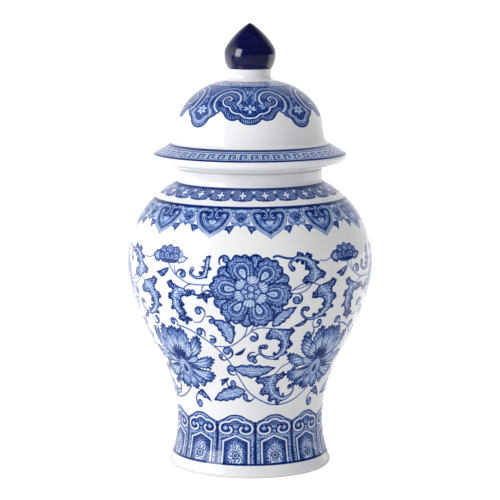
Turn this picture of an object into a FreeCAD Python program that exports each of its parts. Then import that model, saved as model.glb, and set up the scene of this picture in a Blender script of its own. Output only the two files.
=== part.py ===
import FreeCAD, Part
import math
import os
import Sketcher
from FreeCAD import Vector

# Lidded porcelain jar of baluster shape. Millimetres, +Z up.
# The origin is the centre of the foot's resting circle, on the jar's axis of symmetry.
# Every piece is turned about that axis, so each one is drawn as a half outline in its
# own XZ plane, where x is the distance from the axis and y is the height.

os.makedirs("parts", exist_ok=True)
doc = FreeCAD.newDocument("ginger_jar")

DIMENSIONS = [
    # jar body
    ("wall", 5.0, "thickness of the cast wall, jar and lid"),
    ("mouth_height", 240.5, "table to the jar's rim, where the lid sits"),
    ("neck_radius", 58.2, "outside of the short straight neck"),
    ("neck_cove", 5.7, "cove between the neck and the shoulder"),
    ("belly_radius", 98.6, "widest outside radius"),
    ("belly_height", 164.5, "height of the widest circle"),
    ("belly_arc", 72.5, "outline radius of the shoulder and belly"),
    ("belly_drop", 17.8, "how far below the widest circle that arc runs"),
    ("flank_arc", 210.0, "flatter outline radius below the belly"),
    ("flank_angle", 61.5, "slope of the straight stretch above the waist, from horizontal"),
    ("waist_radius", 58.8, "narrowest outside radius"),
    ("waist_height", 35.0, "height of the narrowest circle"),
    ("waist_arc", 85.0, "outline radius of the flare below the waist"),
    ("foot_edge", 3.0, "rounding of the foot's outer edge"),
    ("floor_height", 12.0, "table to the inside floor"),
    ("floor_cove", 14.0, "cove between the inside floor and the wall"),
    ("foot_recess", 6.0, "depth of the hollow under the foot"),
    ("foot_ring_inner", 54.0, "inner radius of the foot ring at the table"),
    ("foot_ring_draft", 1.5, "how much the foot ring's inner wall leans in"),
    ("lip_round", 1.5, "rounding of the rim and of the foot ring's inner edge"),
    # lid, heights above its seat on the rim
    ("flange_radius", 77.4, "outermost radius of the lid"),
    ("flange_height", 9.35, "height of the lid's outermost circle"),
    ("flange_under_arc", 5.0, "outline radius under the rolled edge"),
    ("flange_top_arc", 3.0, "outline radius over the rolled edge"),
    ("flange_slope", 30.3, "fall of the flange's top, from horizontal"),
    ("flange_cove", 6.0, "cove between the flange and the dome"),
    ("seat_radius", 59.0, "outer radius of the flat seat"),
    ("dome_angle", 80.3, "slope of the dome's side, from horizontal"),
    ("dome_arc", 38.8, "outline radius of the dome's shoulder"),
    ("dome_arc_radius", 20.2, "distance of that arc's centre from the axis"),
    ("dome_arc_height", 28.0, "height of that arc's centre"),
    ("crown_arc", 50.3, "outline radius of the crown"),
    ("crown_height", 69.7, "height of the crown, under the collar"),
    ("collar_height", 78.5, "height of the collar's flat top"),
    ("collar_radius", 17.2, "radius of the collar's top"),
    ("collar_angle", 82.7, "lean of the collar's side, from horizontal"),
    ("collar_cove", 4.5, "cove between the collar and the crown"),
    ("shelf_thickness", 7.0, "thickness of the flange over the seat"),
    ("pocket_radius", 67.0, "reach of the hollow inside the flange, to its arc's centre"),
    ("pocket_arc", 2.0, "rounding of that hollow"),
    ("socket_radius", 9.3, "socket in the collar for the bud's spigot"),
    ("socket_depth", 8.0, "depth of that socket"),
    ("vent_radius", 2.5, "vent from the socket into the lid"),
    # locating ring, below the lid's seat
    ("ring_outer", 51.5, "outside radius, 1.7 less than the mouth"),
    ("ring_inner", 47.5, "inside radius, and the lid's opening"),
    ("ring_depth", 14.0, "depth of the ring in the mouth"),
    ("ring_round", 1.4, "rounding of its lower edges"),
    # bud, heights above its seat on the collar
    ("bud_radius", 20.6, "widest radius of the bud"),
    ("bud_height", 11.0, "height of that circle"),
    ("bud_under_arc", 20.7, "outline radius below it"),
    ("bud_side_arc", 13.8, "outline radius above it"),
    ("bud_side_rise", 7.4, "height of the side arc"),
    ("bud_tip_arc", 2.6, "rounding of the tip"),
    ("bud_tip_height", 36.0, "seat to tip"),
    ("bud_hollow", 12.5, "radius of the hollow in the bud"),
    ("bud_hollow_height", 14.0, "height of that hollow's centre"),
    ("spigot_radius", 9.0, "spigot under the bud"),
    ("spigot_length", 7.5, "length of the spigot"),
    ("bud_vent", 2.0, "vent through the spigot"),
]

sheet = doc.addObject("Spreadsheet::Sheet", "dims")
for row, (alias, value, note) in enumerate(DIMENSIONS, start=1):
    sheet.set(f"A{row}", alias)
    sheet.set(f"B{row}", str(value))
    sheet.setAlias(f"B{row}", alias)
    sheet.set(f"C{row}", note)
doc.recompute()


def dim(alias):
    """The value that the sheet holds under this alias."""
    return float(sheet.get(alias))


# ------------------------------------------------------------------ outlines

# a sketch's own numbers for an edge's start, end and centre, and for its origin and axes
START, END, CENTRE = 1, 2, 3
ORIGIN = (-1, 1)
LEVEL_AXIS = -1
UPRIGHT_AXIS = -2

# the two ends of a piece, in the order in which the outline is drawn
FIRST, LAST = "first", "last"

# how near an edge must lie to the circle it is looked up by
EDGE_MATCH = 0.05


class Outline:
    """A closed half outline, drawn piece by piece and bound to the sheet."""

    def __init__(self, body, name):
        self.sketch = body.newObject("Sketcher::SketchObject", name)
        plane = [f for f in body.Origin.OriginFeatures if f.Role == "XZ_Plane"][0]
        self.sketch.AttachmentSupport = [(plane, "")]
        self.sketch.MapMode = "FlatFace"
        self.pieces = []

    def line(self, start, end):
        """Adds a straight piece and returns its number."""
        edge = Part.LineSegment(Vector(*start, 0), Vector(*end, 0))
        self.pieces.append({FIRST: START, LAST: END, CENTRE: CENTRE})
        return self.sketch.addGeometry(edge, False)

    def arc(self, centre, radius, start, end):
        """Adds a round piece from one point to another, the short way round."""
        first = math.atan2(start[1] - centre[1], start[0] - centre[0])
        last = math.atan2(end[1] - centre[1], end[0] - centre[0])
        turn = (last - first + math.pi) % (2 * math.pi) - math.pi
        circle = Part.Circle(Vector(*centre, 0), Vector(0, 0, 1), radius)
        if turn > 0:
            edge = Part.ArcOfCircle(circle, first, first + turn)
            self.pieces.append({FIRST: START, LAST: END, CENTRE: CENTRE})
        else:
            edge = Part.ArcOfCircle(circle, first + turn, first)
            self.pieces.append({FIRST: END, LAST: START, CENTRE: CENTRE})
        return self.sketch.addGeometry(edge, False)

    def join(self, smooth):
        """Joins each piece to the next; smooth names the pieces whose far end is tangent."""
        for here, piece in enumerate(self.pieces):
            there = (here + 1) % len(self.pieces)
            kind = "Tangent" if here in smooth else "Coincident"
            ends = (here, piece[LAST], there, self.pieces[there][FIRST])
            self.sketch.addConstraint(Sketcher.Constraint(kind, *ends))

    def level(self, *numbers):
        """Keeps straight pieces horizontal."""
        for number in numbers:
            self.sketch.addConstraint(Sketcher.Constraint("Horizontal", number))

    def upright(self, *numbers):
        """Keeps straight pieces vertical."""
        for number in numbers:
            self.sketch.addConstraint(Sketcher.Constraint("Vertical", number))

    def on_axis(self, number, point):
        """Keeps a point on the axis of turning."""
        place = (number, self.pieces[number][point])
        self.sketch.addConstraint(Sketcher.Constraint("PointOnObject", *place, UPRIGHT_AXIS))

    def on_ground(self, number, point):
        """Keeps a point at the piece's own zero height."""
        place = (number, self.pieces[number][point])
        self.sketch.addConstraint(Sketcher.Constraint("PointOnObject", *place, LEVEL_AXIS))

    def at_origin(self, number, point):
        """Keeps a point at the piece's own origin."""
        place = (number, self.pieces[number][point])
        self.sketch.addConstraint(Sketcher.Constraint("Coincident", *place, *ORIGIN))

    def bind(self, rule, formula):
        """Adds a dimension whose value is a formula of the sheet's cells."""
        index = self.sketch.addConstraint(rule)
        self.sketch.setExpression(f"Constraints[{index}]", formula)

    def out(self, number, point, formula):
        """Sets a point's distance from the axis."""
        place = (number, self.pieces[number][point])
        value = self.sketch.getPoint(*place).x
        self.bind(Sketcher.Constraint("DistanceX", *ORIGIN, *place, value), formula)

    def up(self, number, point, formula):
        """Sets a point's height above the piece's origin."""
        place = (number, self.pieces[number][point])
        value = self.sketch.getPoint(*place).y
        self.bind(Sketcher.Constraint("DistanceY", *ORIGIN, *place, value), formula)

    def radius(self, number, formula):
        """Sets a round piece's radius."""
        value = self.sketch.Geometry[number].Radius
        self.bind(Sketcher.Constraint("Radius", number, value), formula)

    def slope(self, number, formula):
        """Sets the angle, in degrees, between the horizontal and a straight piece."""
        edge = self.sketch.Geometry[number]
        run = edge.EndPoint - edge.StartPoint
        value = math.atan2(run.y, run.x)
        self.bind(Sketcher.Constraint("Angle", number, value), formula)


def polar(centre, radius, degrees):
    """The point at this angle on a circle, counted from +x towards +y."""
    turn = math.radians(degrees)
    return (centre[0] + radius * math.cos(turn), centre[1] + radius * math.sin(turn))


def towards(start, end, distance):
    """The point at this distance from start on the way to end."""
    length = math.dist(start, end)
    return tuple(a + (b - a) * distance / length for a, b in zip(start, end))


# ------------------------------------------------------------------ features


def new_body(label, height=None):
    """An empty body with its own label, lifted to the height that a formula gives."""
    body = doc.addObject("PartDesign::Body", label)
    body.Label = label
    if height:
        body.setExpression(".Placement.Base.z", height)
    return body


def turn(body, outline, name, kind="Revolution"):
    """Turns an outline a full circle about the axis: a Revolution adds, a Groove cuts."""
    feature = body.newObject(f"PartDesign::{kind}", name)
    feature.Profile = outline.sketch
    feature.ReferenceAxis = (outline.sketch, ["V_Axis"])
    feature.Angle = 360.0
    outline.sketch.Visibility = False
    doc.recompute()
    return feature


def round_circles(body, name, radius_formula, circles):
    """Fillets the body's circular edges at these (radius, height) places."""
    base = body.Tip
    names = []
    for number, edge in enumerate(base.Shape.Edges, start=1):
        if not isinstance(edge.Curve, Part.Circle):
            continue
        place = (edge.Curve.Radius, edge.Curve.Center.z)
        if any(math.dist(place, circle) < EDGE_MATCH for circle in circles):
            names.append(f"Edge{number}")
    if len(names) != len(circles):
        raise RuntimeError(f"{name}: {len(names)} edges found for {len(circles)} circles")
    feature = body.newObject("PartDesign::Fillet", name)
    feature.Base = (base, names)
    feature.setExpression("Radius", radius_formula)
    doc.recompute()
    return feature


# ------------------------------------------------------------------ jar body


def draw_baluster(outline, inset, bottom, corner, inset_cell=None, bottom_cell=None, corner_cell=""):
    """The jar's outline moved inwards by inset, from a flat bottom up to the rim.

    With no inset it is the outside; with the wall as inset it is the hollow. The arcs of
    both have the same centres, so the wall has one thickness from the waist to the rim.
    """
    more = f" + dims.{inset_cell}" if inset_cell else ""
    less = f" - dims.{inset_cell}" if inset_cell else ""
    top = dim("mouth_height")
    neck = dim("neck_radius") - inset
    lean = 90.0 - dim("flank_angle")

    belly = (dim("belly_radius") - dim("belly_arc"), dim("belly_height"))
    belly_r = dim("belly_arc") - inset
    belly_low = -math.degrees(math.asin(dim("belly_drop") / dim("belly_arc")))
    cove_r = dim("neck_cove") + inset
    cove_x = dim("neck_radius") + dim("neck_cove")
    cove = (cove_x, belly[1] + math.sqrt((belly_r + cove_r) ** 2 - (cove_x - belly[0]) ** 2))
    shoulder = towards(belly, cove, belly_r)

    flank_r = dim("flank_arc") - inset
    flank = polar(belly, belly_r - flank_r, belly_low)
    flank_top = polar(flank, flank_r, belly_low)
    flank_low = polar(flank, flank_r, -lean)

    # the waist's upper arc starts upright at the waist and ends along the straight stretch
    side = math.radians(lean)
    reach = flank_low[1] * math.sin(side) - flank_low[0] * math.cos(side)
    waist_x = dim("waist_radius") - inset
    waist_z = dim("waist_height")
    waist_r = (reach + waist_x * math.cos(side) - waist_z * math.sin(side)) / (1 - math.cos(side))
    waist = (waist_x, waist_z)
    upper = (waist_x + waist_r, waist_z)
    flank_foot = polar(upper, waist_r, 180.0 - lean)

    flare_r = dim("waist_arc") + inset
    flare = (waist_x + flare_r, waist_z)
    gap = waist_z - bottom - corner
    turn_centre = (flare[0] - math.sqrt((flare_r + corner) ** 2 - gap**2), bottom + corner)
    flare_low = towards(flare, turn_centre, flare_r)
    bottom_out = (turn_centre[0], bottom)

    axis = outline.line((0, bottom), (0, top))
    rim = outline.line((0, top), (neck, top))
    side_line = outline.line((neck, top), (neck, cove[1]))
    cove_arc = outline.arc(cove, cove_r, (neck, cove[1]), shoulder)
    belly_arc = outline.arc(belly, belly_r, shoulder, flank_top)
    flank_arc = outline.arc(flank, flank_r, flank_top, flank_low)
    flank_line = outline.line(flank_low, flank_foot)
    waist_arc = outline.arc(upper, waist_r, flank_foot, waist)
    flare_arc = outline.arc(flare, flare_r, waist, flare_low)
    corner_arc = outline.arc(turn_centre, corner, flare_low, bottom_out)
    base = outline.line(bottom_out, (0, bottom))

    smooth = {side_line, cove_arc, belly_arc, flank_arc, flank_line, waist_arc, flare_arc, corner_arc}
    outline.join(smooth)
    if bottom_cell:
        outline.on_axis(axis, FIRST)
        outline.up(axis, FIRST, f"dims.{bottom_cell}")
    else:
        outline.at_origin(axis, FIRST)
    outline.on_axis(axis, LAST)
    outline.up(axis, LAST, "dims.mouth_height")
    outline.level(rim, base)
    outline.upright(side_line)
    outline.out(side_line, FIRST, f"dims.neck_radius{less}")
    outline.radius(cove_arc, f"dims.neck_cove{more}")
    outline.radius(belly_arc, f"dims.belly_arc{less}")
    outline.out(belly_arc, CENTRE, "dims.belly_radius - dims.belly_arc")
    outline.up(belly_arc, CENTRE, "dims.belly_height")
    outline.radius(flank_arc, f"dims.flank_arc{less}")
    drop = f"dims.belly_drop * (dims.belly_arc{less}) / dims.belly_arc"
    outline.up(flank_arc, FIRST, f"dims.belly_height - {drop}")
    outline.slope(flank_line, "dims.flank_angle - 180")
    outline.out(flare_arc, FIRST, f"dims.waist_radius{less}")
    outline.up(flare_arc, FIRST, "dims.waist_height")
    outline.up(waist_arc, CENTRE, "dims.waist_height")
    outline.radius(flare_arc, f"dims.waist_arc{more}")
    outline.radius(corner_arc, f"dims.{corner_cell}")


def make_jar_body():
    """Hollow baluster body with a recessed foot."""
    body = new_body("jar_body")
    outside = Outline(body, "outside_outline")
    draw_baluster(outside, 0.0, 0.0, dim("foot_edge"), corner_cell="foot_edge")
    turn(body, outside, "outside_form")

    hollow = Outline(body, "hollow_outline")
    draw_baluster(
        hollow,
        dim("wall"),
        dim("floor_height"),
        dim("floor_cove"),
        inset_cell="wall",
        bottom_cell="floor_height",
        corner_cell="floor_cove",
    )
    turn(body, hollow, "hollow", "Groove")

    recess = Outline(body, "foot_recess_outline")
    deep = dim("foot_recess")
    ring = dim("foot_ring_inner")
    inner = ring - dim("foot_ring_draft")
    table = recess.line((0, 0), (ring, 0))
    wall = recess.line((ring, 0), (inner, deep))
    roof = recess.line((inner, deep), (0, deep))
    axis = recess.line((0, deep), (0, 0))
    recess.join(set())
    recess.at_origin(axis, LAST)
    recess.on_axis(axis, FIRST)
    recess.level(table, roof)
    recess.up(axis, FIRST, "dims.foot_recess")
    recess.out(wall, FIRST, "dims.foot_ring_inner")
    recess.out(wall, LAST, "dims.foot_ring_inner - dims.foot_ring_draft")
    turn(body, recess, "foot_recess", "Groove")

    mouth = dim("mouth_height")
    rims = [(dim("neck_radius"), mouth), (dim("neck_radius") - dim("wall"), mouth), (ring, 0.0)]
    round_circles(body, "lip_rounding", "dims.lip_round", rims)
    return body


# ------------------------------------------------------------------ lid


def dome_places(inset):
    """The dome's centres, radii and joining points, all moved inwards by inset."""
    lean = 90.0 - dim("dome_angle")
    slope = dim("flange_slope")
    dome = (dim("dome_arc_radius"), dim("dome_arc_height"))
    dome_r = dim("dome_arc") - inset
    crown_r = dim("crown_arc") - inset
    crown_z = dim("crown_height") - dim("crown_arc")
    apart = dim("crown_arc") - dim("dome_arc")
    crown = (dome[0] - math.sqrt(apart**2 - (dome[1] - crown_z) ** 2), crown_z)

    # the cove touches the dome's straight side and the flange's straight top
    edge = (dim("flange_radius") - dim("flange_top_arc"), dim("flange_height"))
    cove_r = dim("flange_cove") + inset
    across = math.radians(lean)
    fall = math.radians(slope)
    side_reach = dome[0] * math.cos(across) + dome[1] * math.sin(across) + dome_r + cove_r
    top_reach = edge[0] * math.sin(fall) + edge[1] * math.cos(fall)
    top_reach += dim("flange_top_arc") - inset + cove_r
    wide = math.cos(across + fall)
    cove = (
        (side_reach * math.cos(fall) - top_reach * math.sin(across)) / wide,
        (top_reach * math.cos(across) - side_reach * math.sin(fall)) / wide,
    )
    return {
        "crown": crown,
        "crown_r": crown_r,
        "knee": towards(crown, dome, crown_r),
        "dome": dome,
        "dome_r": dome_r,
        "side_top": polar(dome, dome_r, lean),
        "side_low": polar(cove, cove_r, 180.0 + lean),
        "cove": cove,
        "cove_r": cove_r,
        "flange_in": polar(cove, cove_r, 270.0 - slope),
    }


def draw_dome(outline, places, start, inset_cell=None):
    """Draws the dome from start, on its crown, down to the flange; returns its pieces' numbers."""
    more = f" + dims.{inset_cell}" if inset_cell else ""
    less = f" - dims.{inset_cell}" if inset_cell else ""
    crown = outline.arc(places["crown"], places["crown_r"], start, places["knee"])
    shoulder = outline.arc(places["dome"], places["dome_r"], places["knee"], places["side_top"])
    side = outline.line(places["side_top"], places["side_low"])
    cove = outline.arc(places["cove"], places["cove_r"], places["side_low"], places["flange_in"])
    outline.radius(crown, f"dims.crown_arc{less}")
    outline.up(crown, CENTRE, "dims.crown_height - dims.crown_arc")
    outline.radius(shoulder, f"dims.dome_arc{less}")
    outline.out(shoulder, CENTRE, "dims.dome_arc_radius")
    outline.up(shoulder, CENTRE, "dims.dome_arc_height")
    outline.slope(side, "-dims.dome_angle")
    outline.radius(cove, f"dims.flange_cove{more}")
    return [crown, shoulder, side, cove]


def make_lid_shell():
    """Domed lid with a rolled flange and a collar, hollow inside."""
    body = new_body("lid_shell", "dims.mouth_height")
    outside = Outline(body, "lid_outline")
    places = dome_places(0.0)
    crown, crown_r = places["crown"], places["crown_r"]

    top = dim("collar_height")
    lean = 90.0 - dim("collar_angle")
    tilt = math.radians(lean)
    cove_r = dim("collar_cove")
    collar_top = (dim("collar_radius"), top)
    # the cove touches the crown's arc and the collar's leaning side
    offset = (collar_top[0] - crown[0]) * math.cos(tilt) - (top - crown[1]) * math.sin(tilt) + cove_r
    reach = crown_r + cove_r
    spin = math.asin(offset / reach)
    cove = (crown[0] + reach * math.sin(spin + tilt), crown[1] + reach * math.cos(spin + tilt))
    side_low = polar(cove, cove_r, 180.0 - lean)
    crown_out = towards(crown, cove, crown_r)

    edge_r = dim("flange_radius")
    edge_z = dim("flange_height")
    over = (edge_r - dim("flange_top_arc"), edge_z)
    under = (edge_r - dim("flange_under_arc"), edge_z)
    flange_out = polar(over, dim("flange_top_arc"), 90.0 - dim("flange_slope"))
    seat = (dim("seat_radius"), 0.0)
    gap = math.dist(seat, under)
    touch = math.asin(dim("flange_under_arc") / gap)
    line_turn = math.atan2(under[1], under[0] - seat[0]) - touch
    run = gap * math.cos(touch)
    under_in = (seat[0] + run * math.cos(line_turn), run * math.sin(line_turn))

    axis = outside.line((0, 0), (0, top))
    collar_flat = outside.line((0, top), collar_top)
    collar_side = outside.line(collar_top, side_low)
    collar_cove = outside.arc(cove, cove_r, side_low, crown_out)
    dome = draw_dome(outside, places, crown_out)
    flange_top = outside.line(places["flange_in"], flange_out)
    over_arc = outside.arc(over, dim("flange_top_arc"), flange_out, (edge_r, edge_z))
    under_arc = outside.arc(under, dim("flange_under_arc"), (edge_r, edge_z), under_in)
    underside = outside.line(under_in, seat)
    seat_line = outside.line(seat, (0, 0))

    outside.join({collar_side, collar_cove, *dome, flange_top, over_arc, under_arc})
    outside.at_origin(axis, FIRST)
    outside.on_axis(axis, LAST)
    outside.level(collar_flat, seat_line)
    outside.up(axis, LAST, "dims.collar_height")
    outside.out(collar_flat, LAST, "dims.collar_radius")
    outside.slope(collar_side, "dims.collar_angle - 180")
    outside.radius(collar_cove, "dims.collar_cove")
    outside.slope(flange_top, "-dims.flange_slope")
    outside.radius(over_arc, "dims.flange_top_arc")
    outside.radius(under_arc, "dims.flange_under_arc")
    outside.out(over_arc, CENTRE, "dims.flange_radius - dims.flange_top_arc")
    outside.up(over_arc, CENTRE, "dims.flange_height")
    outside.up(under_arc, CENTRE, "dims.flange_height")
    outside.out(seat_line, FIRST, "dims.seat_radius")
    turn(body, outside, "lid_form")

    cut_lid_hollow(body)
    cut_collar_socket(body)
    return body


def cut_lid_hollow(body):
    """The space under the dome, which also runs out into the flange."""
    hollow = Outline(body, "lid_hollow_outline")
    places = dome_places(dim("wall"))
    middle = places["crown"][0]
    ceiling = places["crown"][1] + places["crown_r"]
    shelf = dim("shelf_thickness")
    opening = dim("ring_inner")
    pocket = (dim("pocket_radius"), shelf + dim("pocket_arc"))
    pocket_top = polar(pocket, dim("pocket_arc"), 90.0 - dim("flange_slope"))
    pocket_low = (pocket[0], shelf)

    axis = hollow.line((0, 0), (0, ceiling))
    ceiling_line = hollow.line((0, ceiling), (middle, ceiling))
    dome = draw_dome(hollow, places, (middle, ceiling), "wall")
    flange_line = hollow.line(places["flange_in"], pocket_top)
    pocket_arc = hollow.arc(pocket, dim("pocket_arc"), pocket_top, pocket_low)
    shelf_line = hollow.line(pocket_low, (opening, shelf))
    bore = hollow.line((opening, shelf), (opening, 0))
    seat_line = hollow.line((opening, 0), (0, 0))

    hollow.join({ceiling_line, *dome, flange_line, pocket_arc})
    hollow.at_origin(axis, FIRST)
    hollow.on_axis(axis, LAST)
    hollow.level(ceiling_line, shelf_line, seat_line)
    hollow.upright(bore)
    hollow.slope(flange_line, "-dims.flange_slope")
    hollow.radius(pocket_arc, "dims.pocket_arc")
    hollow.out(pocket_arc, CENTRE, "dims.pocket_radius")
    hollow.up(bore, FIRST, "dims.shelf_thickness")
    hollow.out(bore, FIRST, "dims.ring_inner")
    turn(body, hollow, "lid_hollow", "Groove")


def draw_steps(outline, steps):
    """A stepped outline round the axis: each step is (radius, its cell, height, its cell).

    It starts at the first step's height on the axis and ends at the last step's height.
    """
    first = steps[0][2]
    last = steps[-1][2]
    axis = outline.line((0, last), (0, first))
    lines = []
    for (radius, out, start, up), (_, _, end, _) in zip(steps, steps[1:]):
        here = (lines[-1][2], start) if lines else (0, start)
        flat = outline.line(here, (radius, start))
        wall = outline.line((radius, start), (radius, end))
        lines.append((flat, wall, radius, out, up))
    base = outline.line((lines[-1][2], last), (0, last))
    outline.join(set())
    outline.on_axis(axis, FIRST)
    outline.on_axis(axis, LAST)
    outline.level(base)
    for flat, wall, _, out, up in lines:
        outline.level(flat)
        outline.upright(wall)
        outline.out(flat, LAST, out)
        outline.up(flat, LAST, up)
    outline.up(base, FIRST, steps[-1][3])


def cut_collar_socket(body):
    """The socket in the collar and the vent from it into the lid."""
    socket = Outline(body, "socket_outline")
    top = dim("collar_height")
    bottom = top - dim("socket_depth")
    below = dim("crown_height") - 2 * dim("wall")
    draw_steps(
        socket,
        [
            (dim("socket_radius"), "dims.socket_radius", top, "dims.collar_height"),
            (dim("vent_radius"), "dims.vent_radius", bottom, "dims.collar_height - dims.socket_depth"),
            (0, None, below, "dims.crown_height - 2 * dims.wall"),
        ],
    )
    turn(body, socket, "socket_and_vent", "Groove")


def make_locating_ring():
    """Ring that hangs in the jar's mouth."""
    body = new_body("lid_locating_ring", "dims.mouth_height")
    ring = Outline(body, "ring_outline")
    outer = dim("ring_outer")
    inner = dim("ring_inner")
    deep = -dim("ring_depth")
    top = ring.line((inner, 0), (outer, 0))
    outside = ring.line((outer, 0), (outer, deep))
    bottom = ring.line((outer, deep), (inner, deep))
    inside = ring.line((inner, deep), (inner, 0))
    ring.join(set())
    ring.level(top, bottom)
    ring.upright(outside, inside)
    ring.on_ground(top, FIRST)
    ring.out(top, FIRST, "dims.ring_inner")
    ring.out(top, LAST, "dims.ring_outer")
    ring.up(bottom, FIRST, "-dims.ring_depth")
    turn(body, ring, "ring_form")
    round_circles(body, "ring_rounding", "dims.ring_round", [(outer, deep), (inner, deep)])
    return body


# ------------------------------------------------------------------ bud


def make_finial_bud():
    """Pointed bud on a spigot, hollow, with a vent."""
    body = new_body("finial_bud", "dims.mouth_height + dims.collar_height")
    form = Outline(body, "bud_outline")
    wide = dim("bud_radius")
    level = dim("bud_height")
    under_r = dim("bud_under_arc")
    side_r = dim("bud_side_arc")
    tip_r = dim("bud_tip_arc")
    tip = dim("bud_tip_height")
    spigot = dim("spigot_radius")
    low = -dim("spigot_length")

    under = (wide - under_r, level)
    foot = (under[0] + math.sqrt(under_r**2 - level**2), 0)
    side = (wide - side_r, level)
    side_turn = math.degrees(math.asin(dim("bud_side_rise") / side_r))
    side_top = polar(side, side_r, side_turn)
    # the long arc goes on from the side arc and ends on the small round of the tip
    tip_centre = (0, tip - tip_r)
    way = (math.cos(math.radians(side_turn)), math.sin(math.radians(side_turn)))
    gap = (side_top[0] - tip_centre[0], side_top[1] - tip_centre[1])
    along = gap[0] * way[0] + gap[1] * way[1]
    long_r = (gap[0] ** 2 + gap[1] ** 2 - tip_r**2) / (2 * (along - tip_r))
    long = (side_top[0] - long_r * way[0], side_top[1] - long_r * way[1])
    tip_side = towards(long, tip_centre, long_r)

    axis = form.line((0, low), (0, tip))
    tip_arc = form.arc(tip_centre, tip_r, (0, tip), tip_side)
    long_arc = form.arc(long, long_r, tip_side, side_top)
    side_arc = form.arc(side, side_r, side_top, (wide, level))
    under_arc = form.arc(under, under_r, (wide, level), foot)
    seat = form.line(foot, (spigot, 0))
    shank = form.line((spigot, 0), (spigot, low))
    end = form.line((spigot, low), (0, low))
    form.join({tip_arc, long_arc, side_arc})
    form.on_axis(axis, FIRST)
    form.on_axis(axis, LAST)
    form.on_axis(tip_arc, CENTRE)
    form.level(seat, end)
    form.upright(shank)
    form.up(axis, LAST, "dims.bud_tip_height")
    form.radius(tip_arc, "dims.bud_tip_arc")
    form.up(side_arc, CENTRE, "dims.bud_height")
    form.out(side_arc, CENTRE, "dims.bud_radius - dims.bud_side_arc")
    form.radius(side_arc, "dims.bud_side_arc")
    form.up(long_arc, LAST, "dims.bud_height + dims.bud_side_rise")
    form.up(under_arc, CENTRE, "dims.bud_height")
    form.radius(under_arc, "dims.bud_under_arc")
    form.on_ground(shank, FIRST)
    form.out(shank, FIRST, "dims.spigot_radius")
    form.up(end, LAST, "-dims.spigot_length")
    turn(body, form, "bud_form")

    hollow = Outline(body, "bud_hollow_outline")
    vent = dim("bud_vent")
    round_r = dim("bud_hollow")
    middle = (0, dim("bud_hollow_height"))
    neck = (vent, middle[1] - math.sqrt(round_r**2 - vent**2))
    axis = hollow.line((0, low), (0, middle[1] + round_r))
    ball = hollow.arc(middle, round_r, (0, middle[1] + round_r), neck)
    wall = hollow.line(neck, (vent, low))
    end = hollow.line((vent, low), (0, low))
    hollow.join(set())
    hollow.on_axis(axis, FIRST)
    hollow.on_axis(axis, LAST)
    hollow.on_axis(ball, CENTRE)
    hollow.up(ball, CENTRE, "dims.bud_hollow_height")
    hollow.radius(ball, "dims.bud_hollow")
    hollow.upright(wall)
    hollow.level(end)
    hollow.out(wall, FIRST, "dims.bud_vent")
    hollow.up(end, FIRST, "-dims.spigot_length")
    turn(body, hollow, "bud_hollow", "Groove")
    return body


# ------------------------------------------------------------------ build, check, write

pieces = [make_jar_body(), make_lid_shell(), make_locating_ring(), make_finial_bud()]
doc.recompute()

for item in doc.Objects:
    if {"Invalid", "Error"} & set(item.State):
        raise RuntimeError(f"{item.Label} did not build: {item.State}")
for item in doc.Objects:
    if item.isDerivedFrom("Sketcher::SketchObject") and not item.FullyConstrained:
        raise RuntimeError(f"{item.Label} is not fully constrained")
for piece in pieces:
    if piece.Shape.isNull() or not piece.Shape.isValid():
        raise RuntimeError(f"{piece.Label} has no valid shape")
    if len(piece.Shape.Solids) != 1:
        raise RuntimeError(f"{piece.Label} is {len(piece.Shape.Solids)} solids")
for piece in pieces:
    piece.Shape.exportStep(f"parts/{piece.Label}.step")
    print(f"{piece.Label}: {piece.Shape.Volume / 1000:.1f} cm3, top {piece.Shape.BoundBox.ZMax:.2f}")
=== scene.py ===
"""How the ginger jar looks: glazed porcelain skins over the CAD pieces, with the print under the glaze.

The frame's own pieces give every size. Each visible skin is that piece's meridian turned round its
axis. The print is a field of tone, from bare glaze to full cobalt, painted flat in millimetres and
wrapped round the skin; it repeats in every quarter turn. u runs round a piece from its front, v up it.
"""

import math

import bpy
import numpy as np
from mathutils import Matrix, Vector


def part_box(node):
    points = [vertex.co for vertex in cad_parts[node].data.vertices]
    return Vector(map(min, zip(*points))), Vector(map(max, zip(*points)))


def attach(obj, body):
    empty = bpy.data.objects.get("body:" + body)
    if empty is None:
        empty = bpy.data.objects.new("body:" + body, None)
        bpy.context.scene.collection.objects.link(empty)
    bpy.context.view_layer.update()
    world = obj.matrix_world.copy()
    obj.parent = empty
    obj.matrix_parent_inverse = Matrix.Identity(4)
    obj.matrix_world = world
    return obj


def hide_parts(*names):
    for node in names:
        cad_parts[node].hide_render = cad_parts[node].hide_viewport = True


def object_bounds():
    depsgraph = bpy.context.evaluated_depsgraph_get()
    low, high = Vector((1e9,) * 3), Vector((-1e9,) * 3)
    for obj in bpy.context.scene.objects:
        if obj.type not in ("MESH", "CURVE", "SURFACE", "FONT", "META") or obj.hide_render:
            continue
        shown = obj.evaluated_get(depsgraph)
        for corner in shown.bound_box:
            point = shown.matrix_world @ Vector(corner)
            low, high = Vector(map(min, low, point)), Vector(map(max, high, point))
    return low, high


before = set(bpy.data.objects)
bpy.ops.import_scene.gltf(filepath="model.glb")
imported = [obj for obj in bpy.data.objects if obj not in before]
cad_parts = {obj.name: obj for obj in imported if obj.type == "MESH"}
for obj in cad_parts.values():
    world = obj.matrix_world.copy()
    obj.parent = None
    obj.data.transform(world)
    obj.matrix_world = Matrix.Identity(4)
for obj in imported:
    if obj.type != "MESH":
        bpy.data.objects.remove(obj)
cad_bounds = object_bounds()

MM = 0.001
QUARTERS = 4        # the print repeats this many times round a piece
COLUMNS = 1416      # steps round a printed skin
PLAIN_COLUMNS = 240     # steps round a small, plain one

# how far apart the rows of a skin are, in mm
PRINT_PITCH = 0.42
PLAIN_PITCH = 1.6
BUD_PITCH = 0.6


# ---------------------------------------------------------------- a flat field of print tone

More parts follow.
